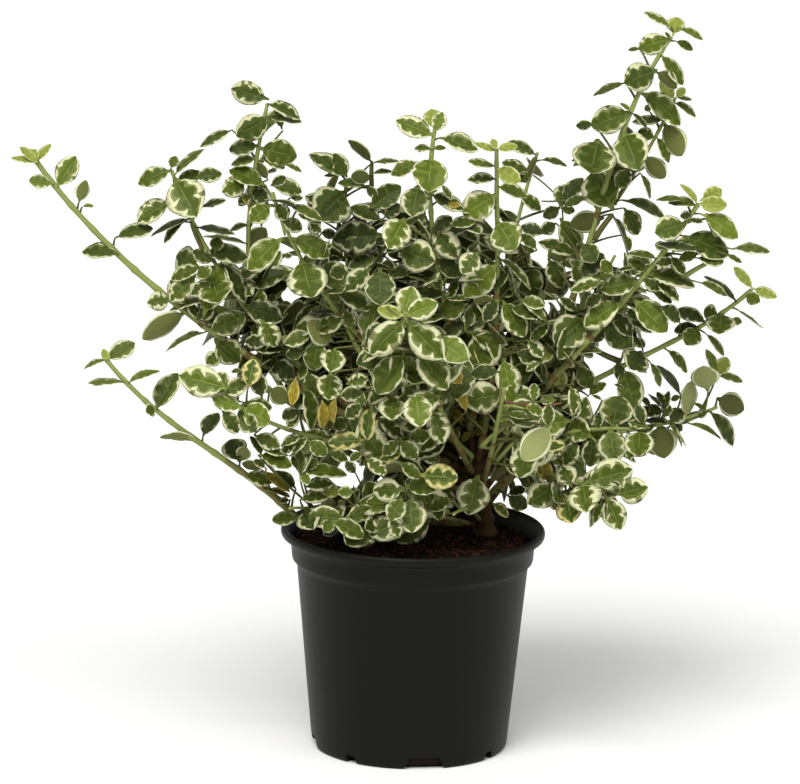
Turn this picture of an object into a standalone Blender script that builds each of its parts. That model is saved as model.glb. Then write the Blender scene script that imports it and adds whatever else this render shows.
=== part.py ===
"""Potted variegated wintercreeper: a low evergreen shrub in a black plastic nursery pot.

Metres, +Z up. The origin is the centre of the pot's flat underside. -Y is the front.

The shrub has one short woody stem, which stands off centre in the compost. Its boughs fan out from
that stem. Each is one tapering limb that ends where it enters the leaves, and where a long shoot
is bare between two clusters of leaves, the bare stretch is a limb of its own. Each cluster of
leaves is one closed uneven solid, drawn out along its shoot.
"""

import math

import bmesh
import bpy
import numpy as np
from mathutils import Vector, noise

# ---------------------------------------------------------------- driving dimensions (metres)

GAP = 0.0004  # clearance that neighbouring solids keep

# Pot, a round 3 litre nursery container.
POT_HEIGHT = 0.161
RIM_RADIUS = 0.095  # outside of the rolled lip
LIP_HEIGHT = 0.0065
COLLAR_DEPTH = 0.024  # rim top to the lower edge of the straight collar
COLLAR_RADIUS = 0.0868
WALL_TOP_RADIUS = 0.0830
BASE_RADIUS = 0.0706
WALL = 0.0016
FLOOR = 0.0030
POT_SIDES = 48

# Drain slots round the bottom edge: four wide ones and four narrow ones, one every 45 degrees.
SLOT_START_DEG = -81.0  # first wide slot, from the front
SLOT_WIDE = (0.031, 0.0085)  # width at the bottom, height
SLOT_NARROW = (0.010, 0.0060)

# Compost.
SOIL_TOP = 0.1500
SOIL_MOUND = 0.0040
SOIL_SIDES = 26

# Short main stem, from its flat foot on the compost to the fork.
STEM_FOOT = (0.052, 0.020)
STEM_TOP = (0.044, 0.012, 0.214)
STEM_RADII = (0.0085, 0.0060, 0.0052, 0.0050)

# Boughs.  height: where the bough leaves the stem, from 0 at the foot to 1 at the fork.  tip: its
# far end.  sag, sway: how far its middle stands above and to the side of the straight line to the
# tip.  hook: how far it swings over that line and back under it, as an S.
#        name              height  tip (x, y, z)            sag     sway    hook    base r  tip r
SHOOTS = (
    ("far_left",             0.56, (-0.271, -0.020, 0.427), -0.021, -0.003,  0.004, 0.0031, 0.0018),
    ("left_upper",           0.44, (-0.109,  0.020, 0.463), -0.087,  0.006, -0.007, 0.0027, 0.0013),
    ("left_mid",             0.74, (-0.175, -0.015, 0.420), -0.034,  0.003,  0.001, 0.0026, 0.0013),
    ("left_inner",           0.92, (-0.103, -0.035, 0.409), -0.012,  0.000,  0.004, 0.0024, 0.0012),
    ("mid_left",             0.98, (-0.052,  0.050, 0.405), -0.035,  0.000,  0.001, 0.0024, 0.0012),
    ("centre",               1.00, ( 0.010, -0.030, 0.456), -0.008,  0.004,  0.006, 0.0024, 0.0014),
    ("right_centre",         0.90, ( 0.053, -0.050, 0.445),  0.004, -0.008, -0.010, 0.0024, 0.0015),
    ("back_right_top",       1.00, ( 0.085,  0.075, 0.422),  0.012,  0.000,  0.000, 0.0022, 0.0011),
    ("tall_right",           0.97, ( 0.177,  0.030, 0.515), -0.009,  0.001, -0.010, 0.0030, 0.0015),
    ("right",                0.80, ( 0.196, -0.020, 0.403), -0.001,  0.000,  0.002, 0.0028, 0.0016),
    ("far_right",            0.66, ( 0.239,  0.020, 0.335),  0.011,  0.000,  0.007, 0.0026, 0.0015),
    ("low_right",            0.36, ( 0.219,  0.050, 0.242),  0.015,  0.000,  0.006, 0.0024, 0.0012),
    ("low_right_front",      0.42, ( 0.130, -0.078, 0.211),  0.016,  0.000,  0.003, 0.0022, 0.0013),
    ("mid_right_front",      0.54, ( 0.160, -0.030, 0.242),  0.018,  0.000,  0.001, 0.0022, 0.0012),
    ("front_centre",         0.68, (-0.009, -0.125, 0.341), -0.005,  0.000,  0.000, 0.0024, 0.0014),
    ("front_right",          0.52, ( 0.061, -0.110, 0.288), -0.004,  0.000,  0.000, 0.0022, 0.0012),
    ("front_left",           0.32, (-0.135, -0.074, 0.272),  0.004,  0.000,  0.007, 0.0024, 0.0012),
    ("back_left",            0.78, (-0.112,  0.110, 0.318), -0.010,  0.000,  0.000, 0.0023, 0.0011),
    ("back_centre",          0.88, (-0.012,  0.150, 0.372), -0.008,  0.000,  0.000, 0.0023, 0.0011),
    ("back_right",           0.76, ( 0.145,  0.125, 0.338), -0.006,  0.000,  0.000, 0.0023, 0.0011),
    ("back_low",             0.50, ( 0.068,  0.172, 0.212),  0.008,  0.000,  0.000, 0.0021, 0.0011),
)
# Shoots that don't start on the stem: their start (x, y, z) in place of the height.
OUTLYING = (
    ("runner",      ( 0.0440,  0.0180, 0.1585), (-0.0770, -0.0110, 0.1660),  0.002,  0.000,  0.000, 0.0026, 0.0024),
    ("low_left",    (-0.0815, -0.0130, 0.1668), (-0.2180, -0.0500, 0.2900), -0.002, -0.009,  0.003, 0.0028, 0.0015),
    ("second_tall", ( 0.1390,  0.0330, 0.3930), ( 0.1820,  0.0500, 0.4680), -0.002,  0.000,  0.000, 0.0018, 0.0010),
)

# Foliage masses.  from, to: the stretch of the shoot that it covers, as fractions of the length.
# up: half its height across the shoot.  side: half its width.  lift: how far its middle is raised.
#        name                  shoot             from   to    up      side    lift
MASSES = (
    ("far_left_tip",          "far_left",        0.865, 1.04, 0.0200, 0.0160, 0.000),
    ("far_left_pad",          "far_left",        0.730, 0.81, 0.0200, 0.0130, 0.002),
    ("far_left_inner",        "far_left",        0.42,  0.64, 0.0230, 0.0250, -0.002),
    ("left_upper_top",        "left_upper",      0.72,  1.05, 0.0250, 0.0240, 0.000),
    ("left_upper_inner",      "left_upper",      0.40,  0.72, 0.0320, 0.0340, 0.000),
    ("left_mid_top",          "left_mid",        0.85,  1.06, 0.0280, 0.0220, 0.000),
    ("left_mid_inner",        "left_mid",        0.44,  0.74, 0.0280, 0.0300, 0.000),
    ("left_inner_crown",      "left_inner",      0.40,  1.06, 0.0270, 0.0280, 0.000),
    ("mid_left_crown",        "mid_left",        0.36,  1.06, 0.0300, 0.0320, 0.000),
    ("centre_crown",          "centre",          0.34,  1.05, 0.0270, 0.0290, 0.000),
    ("right_centre_crown",    "right_centre",    0.36,  1.04, 0.0260, 0.0260, 0.000),
    ("back_right_top_crown",  "back_right_top",  0.34,  1.02, 0.0300, 0.0290, 0.000),
    ("tall_right_tip",        "tall_right",      0.80,  1.04, 0.0230, 0.0190, 0.000),
    ("tall_right_crown",      "tall_right",      0.32,  0.80, 0.0290, 0.0260, 0.000),
    ("second_tall_crown",     "second_tall",     0.00,  1.12, 0.0190, 0.0170, 0.000),
    ("right_crown",           "right",           0.42,  1.06, 0.0320, 0.0310, 0.000),
    ("far_right_crown",       "far_right",       0.46,  1.06, 0.0230, 0.0260, 0.000),
    ("low_right_crown",       "low_right",       0.44,  1.10, 0.0270, 0.0270, 0.000),
    ("low_right_front_crown", "low_right_front", 0.42,  1.16, 0.0290, 0.0270, -0.004),
    ("mid_right_front_crown", "mid_right_front", 0.44,  1.06, 0.0260, 0.0270, 0.000),
    ("front_centre_crown",    "front_centre",    0.42,  1.08, 0.0320, 0.0340, 0.000),
    ("front_right_crown",     "front_right",     0.36,  1.10, 0.0310, 0.0330, 0.000),
    ("front_left_crown",      "front_left",      0.36,  1.08, 0.0270, 0.0310, 0.000),
    ("low_left_tip",          "low_left",        0.84,  1.08, 0.0180, 0.0150, 0.000),
    ("low_left_inner",        "low_left",        0.20,  0.66, 0.0160, 0.0170, 0.006),
    ("back_left_crown",       "back_left",       0.18,  1.10, 0.0420, 0.0400, 0.000),
    ("back_centre_crown",     "back_centre",     0.18,  1.08, 0.0430, 0.0430, 0.000),
    ("back_right_crown",      "back_right",      0.18,  1.10, 0.0420, 0.0400, 0.000),
    ("back_low_crown",        "back_low",        0.16,  1.06, 0.0330, 0.0430, 0.000),
)
# Low skirts of leaves that lie just over the compost and the rim:
#        name           from (x, y, z)             to (x, y, z)             up      side
SKIRTS = (
    ("skirt_front",   (0.048, -0.058, 0.188), (-0.103, -0.052, 0.182), 0.0200, 0.0280),
)

BOUGH_POINTS = 6
MASS_SEGMENTS = 9
MASS_RINGS = 8
MASS_UNEVEN = 0.24  # how far a mass strays from smooth, as a part of its radius
MASS_LOWEST = POT_HEIGHT + 0.0006

# ---------------------------------------------------------------- scene and helpers


def clear_scene():
    for obj in list(bpy.data.objects):
        bpy.data.objects.remove(obj, do_unlink=True)


def new_collection(name):
    made = bpy.data.collections.new(name)
    bpy.context.scene.collection.children.link(made)
    return made


def material(name, colour, roughness, metallic=0.0):
    made = bpy.data.materials.new(name)
    made.use_nodes = True
    shader = made.node_tree.nodes["Principled BSDF"]
    shader.inputs["Base Color"].default_value = (*colour, 1.0)
    shader.inputs["Roughness"].default_value = roughness
    shader.inputs["Metallic"].default_value = metallic
    made.diffuse_color = (*colour, 1.0)
    return made


def add_object(name, data, collection, mat):
    obj = bpy.data.objects.new(name, data)
    collection.objects.link(obj)
    if mat:
        data.materials.append(mat)
    return obj


def turned(name, profile, steps, collection, mat):
    """A profile of (radius, height) pairs turned round Z. It runs down its outer side."""
    mesh = bpy.data.meshes.new(name)
    mesh.from_pydata(
        [(r, 0.0, z) for r, z in profile],
        [(i, i + 1) for i in range(len(profile) - 1)],
        [],
    )
    obj = add_object(name, mesh, collection, mat)
    screw = obj.modifiers.new("turn", "SCREW")
    screw.axis = "Z"
    screw.angle = math.tau
    screw.steps = steps
    screw.render_steps = steps
    screw.use_merge_vertices = True
    screw.merge_threshold = 0.00001
    screw.use_smooth_shade = True
    return obj


def made_mesh(obj):
    """The object with its modifiers worked into a mesh of its own."""
    bpy.context.view_layer.update()
    graph = bpy.context.evaluated_depsgraph_get()
    mesh = bpy.data.meshes.new_from_object(obj.evaluated_get(graph))
    obj.modifiers.clear()
    obj.data = mesh
    return obj

# ---------------------------------------------------------------- pot


def wall_radius(z):
    """Outside radius of the tapered wall at height z."""
    top = POT_HEIGHT - COLLAR_DEPTH - 0.004
    return BASE_RADIUS + (WALL_TOP_RADIUS - BASE_RADIUS) * min(z / top, 1.0)


def pot_profile():
    rim, lip = POT_HEIGHT, LIP_HEIGHT
    collar_foot = POT_HEIGHT - COLLAR_DEPTH
    inside = [
        (0.0, FLOOR),
        (wall_radius(FLOOR) - WALL - 0.0015, FLOOR),
        (wall_radius(FLOOR + 0.0015) - WALL, FLOOR + 0.0015),
        (WALL_TOP_RADIUS - WALL, collar_foot - 0.004),
        (COLLAR_RADIUS - 0.0012 - WALL, collar_foot + 0.001),
        (COLLAR_RADIUS + 0.0006 - WALL, rim - lip - 0.004),
        (RIM_RADIUS - 0.0050, rim - lip * 0.35),
        (RIM_RADIUS - 0.0034, rim - 0.0006),
    ]
    outside = [
        (RIM_RADIUS - 0.0020, rim),
        (RIM_RADIUS - 0.0005, rim - 0.0009),
        (RIM_RADIUS, rim - lip * 0.45),
        (RIM_RADIUS - 0.0006, rim - lip * 0.85),
        (RIM_RADIUS - 0.0026, rim - lip),
        (COLLAR_RADIUS + 0.0022, rim - lip - 0.0022),
        (COLLAR_RADIUS + 0.0008, rim - lip - 0.0060),
        (COLLAR_RADIUS, collar_foot + 0.0022),
        (COLLAR_RADIUS - 0.0012, collar_foot),
        (WALL_TOP_RADIUS, collar_foot - 0.004),
        (BASE_RADIUS, 0.0026),
        (BASE_RADIUS - 0.0010, 0.0008),
        (BASE_RADIUS - 0.0030, 0.0),
        (0.0, 0.0),
    ]
    return inside + outside


def slot_cutter(collection):
    """Tapered blocks at the bottom edge, one every 45 degrees, wide and narrow in turn."""
    bm = bmesh.new()
    for i in range(8):
        width, height = SLOT_WIDE if i % 2 == 0 else SLOT_NARROW
        turn = math.radians(SLOT_START_DEG + 45.0 * i - 90.0)
        block = bmesh.ops.create_cube(bm, size=1.0)["verts"]
        for v in block:
            x, y, z = v.co
            narrowing = 0.72 if z > 0 else 1.06
            radial = BASE_RADIUS - 0.0075 + (x + 0.5) * 0.020
            across = y * width * narrowing
            up = height if z > 0 else -0.004
            v.co = Vector(
                (
                    radial * math.cos(turn) - across * math.sin(turn),
                    radial * math.sin(turn) + across * math.cos(turn),
                    up,
                )
            )
    bmesh.ops.recalc_face_normals(bm, faces=bm.faces)
    mesh = bpy.data.meshes.new("slot_cutter")
    bm.to_mesh(mesh)
    bm.free()
    cutter = add_object("slot_cutter", mesh, collection, None)
    cutter.hide_render = True
    cutter.display_type = "WIRE"
    return cutter


def make_pot(collection, cutters, mat):
    pot = turned("pot", pot_profile(), POT_SIDES, collection, mat)
    cut = pot.modifiers.new("slots", "BOOLEAN")
    cut.operation = "DIFFERENCE"
    cut.object = slot_cutter(cutters)
    cut.solver = "EXACT"
    return pot

# ---------------------------------------------------------------- compost


def soil_height(x, y):
    """Height of the uneven top of the compost, level round the stem's foot."""
    spot = Vector((x * 38.0, y * 38.0, 3.1))
    uneven = noise.noise(spot) * 0.6 + noise.noise(spot * 2.3) * 0.4
    mound = -x / RIM_RADIUS * 0.35
    away = min(math.hypot(x - STEM_FOOT[0], y - STEM_FOOT[1]) / 0.022, 1.0)
    return SOIL_TOP + SOIL_MOUND * (uneven + mound) * away


def make_soil(collection, mat):
    edge = COLLAR_RADIUS - WALL - 0.0013
    rings = (0.0, 0.016, 0.031, 0.045, 0.058, 0.070, 0.079)
    profile = [(r, SOIL_TOP) for r in rings]
    profile += [
        (edge - 0.0006, SOIL_TOP - 0.003),
        (edge - 0.0012, POT_HEIGHT - COLLAR_DEPTH + 0.001),
        (WALL_TOP_RADIUS - WALL - GAP, POT_HEIGHT - COLLAR_DEPTH - 0.0045),
        (wall_radius(0.006) - WALL - GAP, 0.006),
        (wall_radius(0.006) - WALL - GAP - 0.0022, FLOOR + GAP),
        (0.0, FLOOR + GAP),
    ]
    soil = made_mesh(turned("compost", profile, SOIL_SIDES, collection, mat))
    for v in soil.data.vertices:
        if v.co.z > SOIL_TOP - 0.001:
            v.co.z = soil_height(v.co.x, v.co.y)
    return soil

# ---------------------------------------------------------------- limbs


def limb(name, points, radii, collection, mat, resolution=1):
    """A tapering round limb through the points, with flat ends."""
    curve = bpy.data.curves.new(name, "CURVE")
    curve.dimensions = "3D"
    curve.bevel_depth = 1.0
    curve.bevel_resolution = resolution
    curve.use_fill_caps = True
    spline = curve.splines.new("POLY")
    spline.points.add(len(points) - 1)
    for spot, (x, y, z), radius in zip(spline.points, points, radii):
        spot.co = (x, y, z, 1.0)
        spot.radius = radius
    return add_object(name, curve, collection, mat)


def stem_axis(h):
    """Axis of the main stem at height fraction h: upright at the foot, then leaning."""
    foot = Vector((*STEM_FOOT, SOIL_TOP + GAP))
    top = Vector(STEM_TOP)
    lean = h * h * (3.0 - 2.0 * h)
    return Vector(
        (
            foot.x + (top.x - foot.x) * lean,
            foot.y + (top.y - foot.y) * lean,
            foot.z + (top.z - foot.z) * h,
        )
    )


def stem_radius(h):
    spot = h * (len(STEM_RADII) - 1)
    i = min(int(spot), len(STEM_RADII) - 2)
    return STEM_RADII[i] + (STEM_RADII[i + 1] - STEM_RADII[i]) * (spot - i)


def make_stem(collection, mat):
    steps = (0.0, 0.06, 0.2, 0.4, 0.7, 1.0)
    return limb(
        "main_stem",
        [stem_axis(h) for h in steps],
        [stem_radius(h) for h in steps],
        collection,
        mat,
        resolution=2,
    )


class Shoot:
    """The line that a limb and its leaves follow, bowed off the straight line to its tip."""

    def __init__(self, start, tip, sag, sway, hook, base_r, tip_r):
        self.start, self.chord = start, tip - start
        self.length = self.chord.length
        self.along = self.chord.normalized()
        self.up = (Vector((0, 0, 1)) - self.along * self.along.z).normalized()
        self.side = self.along.cross(self.up)
        self.sag, self.sway, self.hook = sag, sway, hook
        self.base_r, self.tip_r = base_r, tip_r

    def at(self, t):
        bow = 4.0 * t * (1.0 - t)
        swing = 2.6 * bow * (1.0 - 2.0 * t)
        return (
            self.start
            + self.chord * t
            + self.up * (self.sag * bow + self.hook * swing)
            + self.side * (self.sway * bow)
        )

    def radius(self, t):
        return self.base_r + (self.tip_r - self.base_r) * min(max(t, 0.0), 1.0)

    def heading(self, t):
        return (self.at(t + 0.01) - self.at(t - 0.01)).normalized()


def all_shoots():
    shoots = {}
    for name, height, tip, sag, sway, hook, base_r, tip_r in SHOOTS:
        tip = Vector(tip)
        away = tip - stem_axis(height)
        away = Vector((away.x, away.y, 0.0)).normalized()
        start = stem_axis(height) + away * (stem_radius(height) + GAP + base_r * 0.75)
        shoots[name] = Shoot(start, tip, sag, sway, hook, base_r, tip_r)
    for name, start, tip, sag, sway, hook, base_r, tip_r in OUTLYING:
        shoots[name] = Shoot(Vector(start), Vector(tip), sag, sway, hook, base_r, tip_r)
    return shoots


def bare_stretches(shoot_name, shoot):
    """The parts of a shoot that no mass covers, as (from, to)."""
    covered = sorted((m[2], m[3]) for m in MASSES if m[1] == shoot_name)
    gap = GAP / shoot.length
    spots, at = [], 0.0
    for start, end in covered:
        if start - at > 0.015:
            spots.append((at + (gap if at > 0 else 0.0), start))
        at = end
    if not covered:
        spots.append((0.0, 1.0))
    return spots


def make_boughs(shoots, collection, mat):
    made = {}
    for name, shoot in shoots.items():
        for i, (start, end) in enumerate(bare_stretches(name, shoot)):
            count = max(3, round(BOUGH_POINTS * (end - start) / 0.4 * shoot.length / 0.25))
            count = min(count, BOUGH_POINTS + 1)
            ts = [start + (end - start) * k / (count - 1) for k in range(count)]
            label = f"bough_{name}" + (f"_{i + 1}" if i else "")
            made[label] = limb(
                label,
                [shoot.at(t) for t in ts],
                [shoot.radius(t) for t in ts],
                collection,
                mat,
            )
    return made

# ---------------------------------------------------------------- foliage masses


def mass_mesh(at, up, side, up_r, side_r, seed):
    """A round form drawn out along at(0..1), its surface uneven."""
    bm = bmesh.new()
    bmesh.ops.create_uvsphere(
        bm, u_segments=MASS_SEGMENTS, v_segments=MASS_RINGS, radius=1.0
    )
    for v in bm.verts:
        x, y, z = v.co
        # Blunt ends, so that the mass is full over most of its length.
        full = max(1.0 - z * z, 0.0) ** 0.36
        wide = math.hypot(x, y)
        x, y = (x / wide * full, y / wide * full) if wide > 1e-6 else (0.0, 0.0)
        spot = at((z + 1.0) / 2.0)
        rough = noise.noise(spot * 46.0 + Vector((seed * 1.7, seed * 0.6, seed * 2.9)))
        fine = noise.noise(spot * 20.0 + Vector((x, y, z)) * 1.9 + Vector((seed,) * 3))
        swell = 1.0 + MASS_UNEVEN * (0.9 * fine + 0.6 * rough)
        v.co = spot + up * (x * up_r * swell) + side * (y * side_r * swell)
    bmesh.ops.recalc_face_normals(bm, faces=bm.faces)
    return bm


def cut_by_plane(bm, point, normal):
    """Keeps what lies behind the plane, and closes the cut."""
    geometry = bm.verts[:] + bm.edges[:] + bm.faces[:]
    cut = bmesh.ops.bisect_plane(
        bm,
        geom=geometry,
        dist=1e-6,
        plane_co=point,
        plane_no=normal,
        clear_outer=True,
    )
    edges = [e for e in cut["geom_cut"] if isinstance(e, bmesh.types.BMEdge) and e.is_valid]
    if edges:
        bmesh.ops.holes_fill(bm, edges=edges, sides=0)
    bmesh.ops.remove_doubles(bm, verts=bm.verts, dist=2e-5)


def coordinates(bm):
    return np.array([v.co[:] for v in bm.verts])


def parting(first, second):
    """The plane that parts two sets of points best, as (normal, offset), from first to second."""
    both = np.concatenate([first, second])
    middle, scale = both.mean(axis=0), both.std() + 1e-9
    a, b = (first - middle) / scale, (second - middle) / scale
    normal = b.mean(axis=0) - a.mean(axis=0)
    normal /= np.linalg.norm(normal) + 1e-12
    offset = 0.5 * ((a @ normal).max() + (b @ normal).min())
    weight = np.append(normal * 4.0, -offset * 4.0)
    points = np.concatenate([a, b])
    points = np.column_stack([points, np.ones(len(points))])
    sign = np.concatenate([-np.ones(len(a)) , np.ones(len(b))])
    share = np.where(sign < 0, 1.0 / len(a), 1.0 / len(b))
    for step in range(400):
        margin = sign * (points @ weight)
        pull = share / (1.0 + np.exp(np.clip(margin * 3.0, -30, 30)))
        weight += 1.2 * ((pull * sign) @ points)
    size = np.linalg.norm(weight[:3])
    normal = weight[:3] / size
    offset = -weight[3] / size * scale + middle @ normal
    return normal, offset


def part_masses(masses, limbs):
    """Cuts neighbours back to the plane between them, and each mass clear of the limbs."""
    half = GAP / 2.0
    names = list(masses)
    for i, first in enumerate(names):
        for second in names[i + 1 :]:
            a, b = coordinates(masses[first]), coordinates(masses[second])
            if (a.min(0) > b.max(0) + GAP).any() or (b.min(0) > a.max(0) + GAP).any():
                continue
            normal, offset = parting(a, b)
            if (a @ normal).max() > offset - half:
                cut_by_plane(masses[first], normal * (offset - half), normal)
            if (b @ normal).min() < offset + half:
                cut_by_plane(masses[second], normal * (offset + half), -normal)
    for name in names:
        for points in limbs.values():
            a = coordinates(masses[name])
            if (a.min(0) > points.max(0)).any() or (points.min(0) > a.max(0)).any():
                continue
            normal, _ = parting(a, points)
            reach = (points @ normal).min() - GAP
            if (a @ normal).max() > reach:
                cut_by_plane(masses[name], normal * reach, normal)


def limb_points(shoot, start, end):
    """Points on the skin of a limb."""
    found = []
    for k in range(9):
        t = start + (end - start) * k / 8.0
        for q in range(8):
            a = math.tau * q / 8.0
            skin = shoot.up * math.cos(a) + shoot.side * math.sin(a)
            found.append(shoot.at(t) + skin * (shoot.radius(t) * 1.08 + GAP))
    return np.array([p[:] for p in found])


def make_masses(shoots, collection, mat):
    masses = {}
    for seed, (name, shoot_name, start, end, up_r, side_r, lift) in enumerate(MASSES):
        shoot = shoots[shoot_name]

        def at(s, shoot=shoot, start=start, end=end, lift=lift):
            return shoot.at(start + (end - start) * s) + shoot.up * lift

        bm = mass_mesh(at, shoot.up, shoot.side, up_r, side_r, seed)
        heading = shoot.heading(start)
        cut_by_plane(bm, shoot.at(start) + heading * (GAP + 0.0008), -heading)
        followed = [m for m in MASSES if m[1] == shoot_name and m[2] >= end - 1e-6]
        if followed:
            heading = shoot.heading(end)
            cut_by_plane(bm, shoot.at(end) - heading * GAP, heading)
        masses[name] = bm
    for seed, (name, first, last, up_r, side_r) in enumerate(SKIRTS):
        first, last = Vector(first), Vector(last)
        along = (last - first).normalized()
        up = (Vector((0, 0, 1)) - along * along.z).normalized()

        def at(s, first=first, last=last):
            return first.lerp(last, s)

        masses[name] = mass_mesh(at, up, along.cross(up), up_r, side_r, 50 + seed)
    for bm in masses.values():
        if min(v.co.z for v in bm.verts) < MASS_LOWEST:
            cut_by_plane(bm, Vector((0, 0, MASS_LOWEST)), Vector((0, 0, -1)))
    limbs = {
        f"{name}{i}": limb_points(shoot, *stretch)
        for name, shoot in shoots.items()
        for i, stretch in enumerate(bare_stretches(name, shoot))
    }
    stem = [
        stem_axis(h) + Vector((math.cos(a), math.sin(a), 0)) * (stem_radius(h) * 1.1)
        for h in (0.0, 0.25, 0.5, 0.75, 1.0)
        for a in (0.0, 1.05, 2.09, 3.14, 4.19, 5.24)
    ]
    limbs["stem"] = np.array([p[:] for p in stem])
    part_masses(masses, limbs)
    for name, bm in masses.items():
        bmesh.ops.triangulate(bm, faces=bm.faces)
        bmesh.ops.recalc_face_normals(bm, faces=bm.faces)
        mesh = bpy.data.meshes.new(name)
        bm.to_mesh(mesh)
        bm.free()
        add_object(f"leaves_{name}", mesh, collection, mat)

# ---------------------------------------------------------------- build


def build():
    clear_scene()
    collection = new_collection("potted_wintercreeper")
    cutters = new_collection("cutters")
    plastic = material("pot_plastic", (0.016, 0.017, 0.014), 0.42)
    compost = material("compost", (0.035, 0.020, 0.013), 0.95)
    wood = material("stem_bark", (0.22, 0.25, 0.11), 0.65)
    foliage = material("leaves_green_and_cream", (0.13, 0.22, 0.08), 0.45)

    make_pot(collection, cutters, plastic)
    make_soil(collection, compost)
    make_stem(collection, wood)
    shoots = all_shoots()
    make_boughs(shoots, collection, wood)
    make_masses(shoots, collection, foliage)


build()
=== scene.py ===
"""Looks of the potted variegated wintercreeper: pot, compost, stems, twigs and leaves.

Everything is in metres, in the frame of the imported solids. +Z is up and -Y is the front.
"""

import math
import random

import bmesh
import bpy
import numpy as np
from mathutils import Matrix, Vector, noise


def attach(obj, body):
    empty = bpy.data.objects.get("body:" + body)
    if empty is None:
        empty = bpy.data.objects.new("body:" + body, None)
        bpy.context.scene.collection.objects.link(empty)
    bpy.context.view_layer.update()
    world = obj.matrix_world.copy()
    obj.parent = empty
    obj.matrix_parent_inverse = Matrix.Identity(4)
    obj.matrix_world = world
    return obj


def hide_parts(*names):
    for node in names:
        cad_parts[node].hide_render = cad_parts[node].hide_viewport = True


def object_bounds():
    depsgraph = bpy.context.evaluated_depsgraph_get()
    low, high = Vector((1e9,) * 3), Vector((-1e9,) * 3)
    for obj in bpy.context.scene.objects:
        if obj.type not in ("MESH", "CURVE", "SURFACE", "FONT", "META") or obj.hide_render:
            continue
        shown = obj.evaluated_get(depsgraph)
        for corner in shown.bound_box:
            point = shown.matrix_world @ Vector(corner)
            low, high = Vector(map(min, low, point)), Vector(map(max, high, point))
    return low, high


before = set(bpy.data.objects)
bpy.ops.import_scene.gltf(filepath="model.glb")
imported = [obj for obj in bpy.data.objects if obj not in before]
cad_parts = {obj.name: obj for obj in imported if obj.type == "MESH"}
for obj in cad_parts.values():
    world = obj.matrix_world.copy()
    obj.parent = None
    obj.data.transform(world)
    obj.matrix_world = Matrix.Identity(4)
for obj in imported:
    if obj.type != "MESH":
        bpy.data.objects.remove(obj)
CAD_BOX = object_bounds()

SEED = 20
IMAGE = (800, 784)

# ---------------------------------------------------------------- camera and stage

CAMERA_AT = Vector((-0.01118, -3.51602, 1.03282))
CAMERA_DIP = math.radians(12.4)
CAMERA_ROLL = math.radians(1.05)
LENS_PX = 5040.0


def camera_axes():
    """The camera's right, up and forward directions."""
    right = Vector((1, 0, 0))
    up = Vector((0, math.sin(CAMERA_DIP), math.cos(CAMERA_DIP)))
    look = Vector((0, math.cos(CAMERA_DIP), -math.sin(CAMERA_DIP)))
    c, s = math.cos(CAMERA_ROLL), math.sin(CAMERA_ROLL)
    return right * c + up * s, up * c - right * s, look


RIGHT, UP, LOOK = camera_axes()


def in_view(points):
    """The pixels of the photograph's frame at which points are seen, as two arrays."""
    away = np.atleast_2d(np.array(points, float)) - np.array(CAMERA_AT)
    far = away @ np.array(LOOK)
    x = IMAGE[0] / 2 + LENS_PX * (away @ np.array(RIGHT)) / far
    y = IMAGE[1] / 2 - LENS_PX * (away @ np.array(UP)) / far
    return x, y


def on_view(x, y, depth):
    """The place on the upright plane y = depth that is seen at a pixel."""
    way = RIGHT * ((x - IMAGE[0] / 2) / LENS_PX) + UP * ((IMAGE[1] / 2 - y) / LENS_PX) + LOOK
    return CAMERA_AT + way * ((depth - CAMERA_AT.y) / way.y)


def make_camera():
    data = bpy.data.cameras.new("camera")
    data.sensor_width = 36.0
    data.lens = LENS_PX / IMAGE[0] * 36.0
    data.clip_end = 60.0
    camera = bpy.data.objects.new("camera", data)
    bpy.context.scene.collection.objects.link(camera)
    turn = Matrix((RIGHT, UP, -LOOK)).transposed()
    camera.matrix_world = Matrix.Translation(CAMERA_AT) @ turn.to_4x4()
    bpy.context.scene.camera = camera


def linear(code):
    """A colour written as six hex digits, as linear red, green and blue."""
    parts = [int(code[i : i + 2], 16) / 255.0 for i in (0, 2, 4)]
    return tuple(p / 12.92 if p <= 0.04045 else ((p + 0.055) / 1.055) ** 2.4 for p in parts)


def sun(name, way, strength, spread, colour=(1, 1, 1)):
    """A wide, soft, even light that shines along way."""
    data = bpy.data.lights.new(name, "SUN")
    data.energy = strength
    data.angle = math.radians(spread)
    data.color = colour
    light = bpy.data.objects.new(name, data)
    bpy.context.scene.collection.objects.link(light)
    light.rotation_euler = Vector(way).to_track_quat("-Z", "Y").to_euler()


def make_stage():
    bm = bmesh.new()
    bmesh.ops.create_grid(bm, x_segments=1, y_segments=1, size=30.0)
    mesh = bpy.data.meshes.new("floor")
    bm.to_mesh(mesh)
    bm.free()
    floor = bpy.data.objects.new("floor", mesh)
    bpy.context.scene.collection.objects.link(floor)
    mat = bpy.data.materials.new("floor_pale")
    mat.use_nodes = True
    shader = mat.node_tree.nodes["Principled BSDF"]
    shader.inputs["Base Color"].default_value = (0.93, 0.93, 0.93, 1)
    shader.inputs["Roughness"].default_value = 0.9
    shader.inputs["Specular IOR Level"].default_value = 0.1
    mesh.materials.append(mat)

    world = bpy.data.worlds.new("studio")
    bpy.context.scene.world = world
    world.use_nodes = True
    back = world.node_tree.nodes["Background"]
    back.inputs["Color"].default_value = (1.0, 1.0, 0.99, 1)
    back.inputs["Strength"].default_value = 0.44
    sun("key", (0.30, 0.80, -1.10), 2.60, 36, (1.0, 0.99, 0.96))
    sun("fill", (-0.75, 0.70, -0.80), 0.80, 50, (1.0, 1.0, 0.99))
    bpy.context.scene.view_settings.view_transform = "Standard"
    bpy.context.scene.view_settings.look = "None"


# ---------------------------------------------------------------- materials


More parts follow.
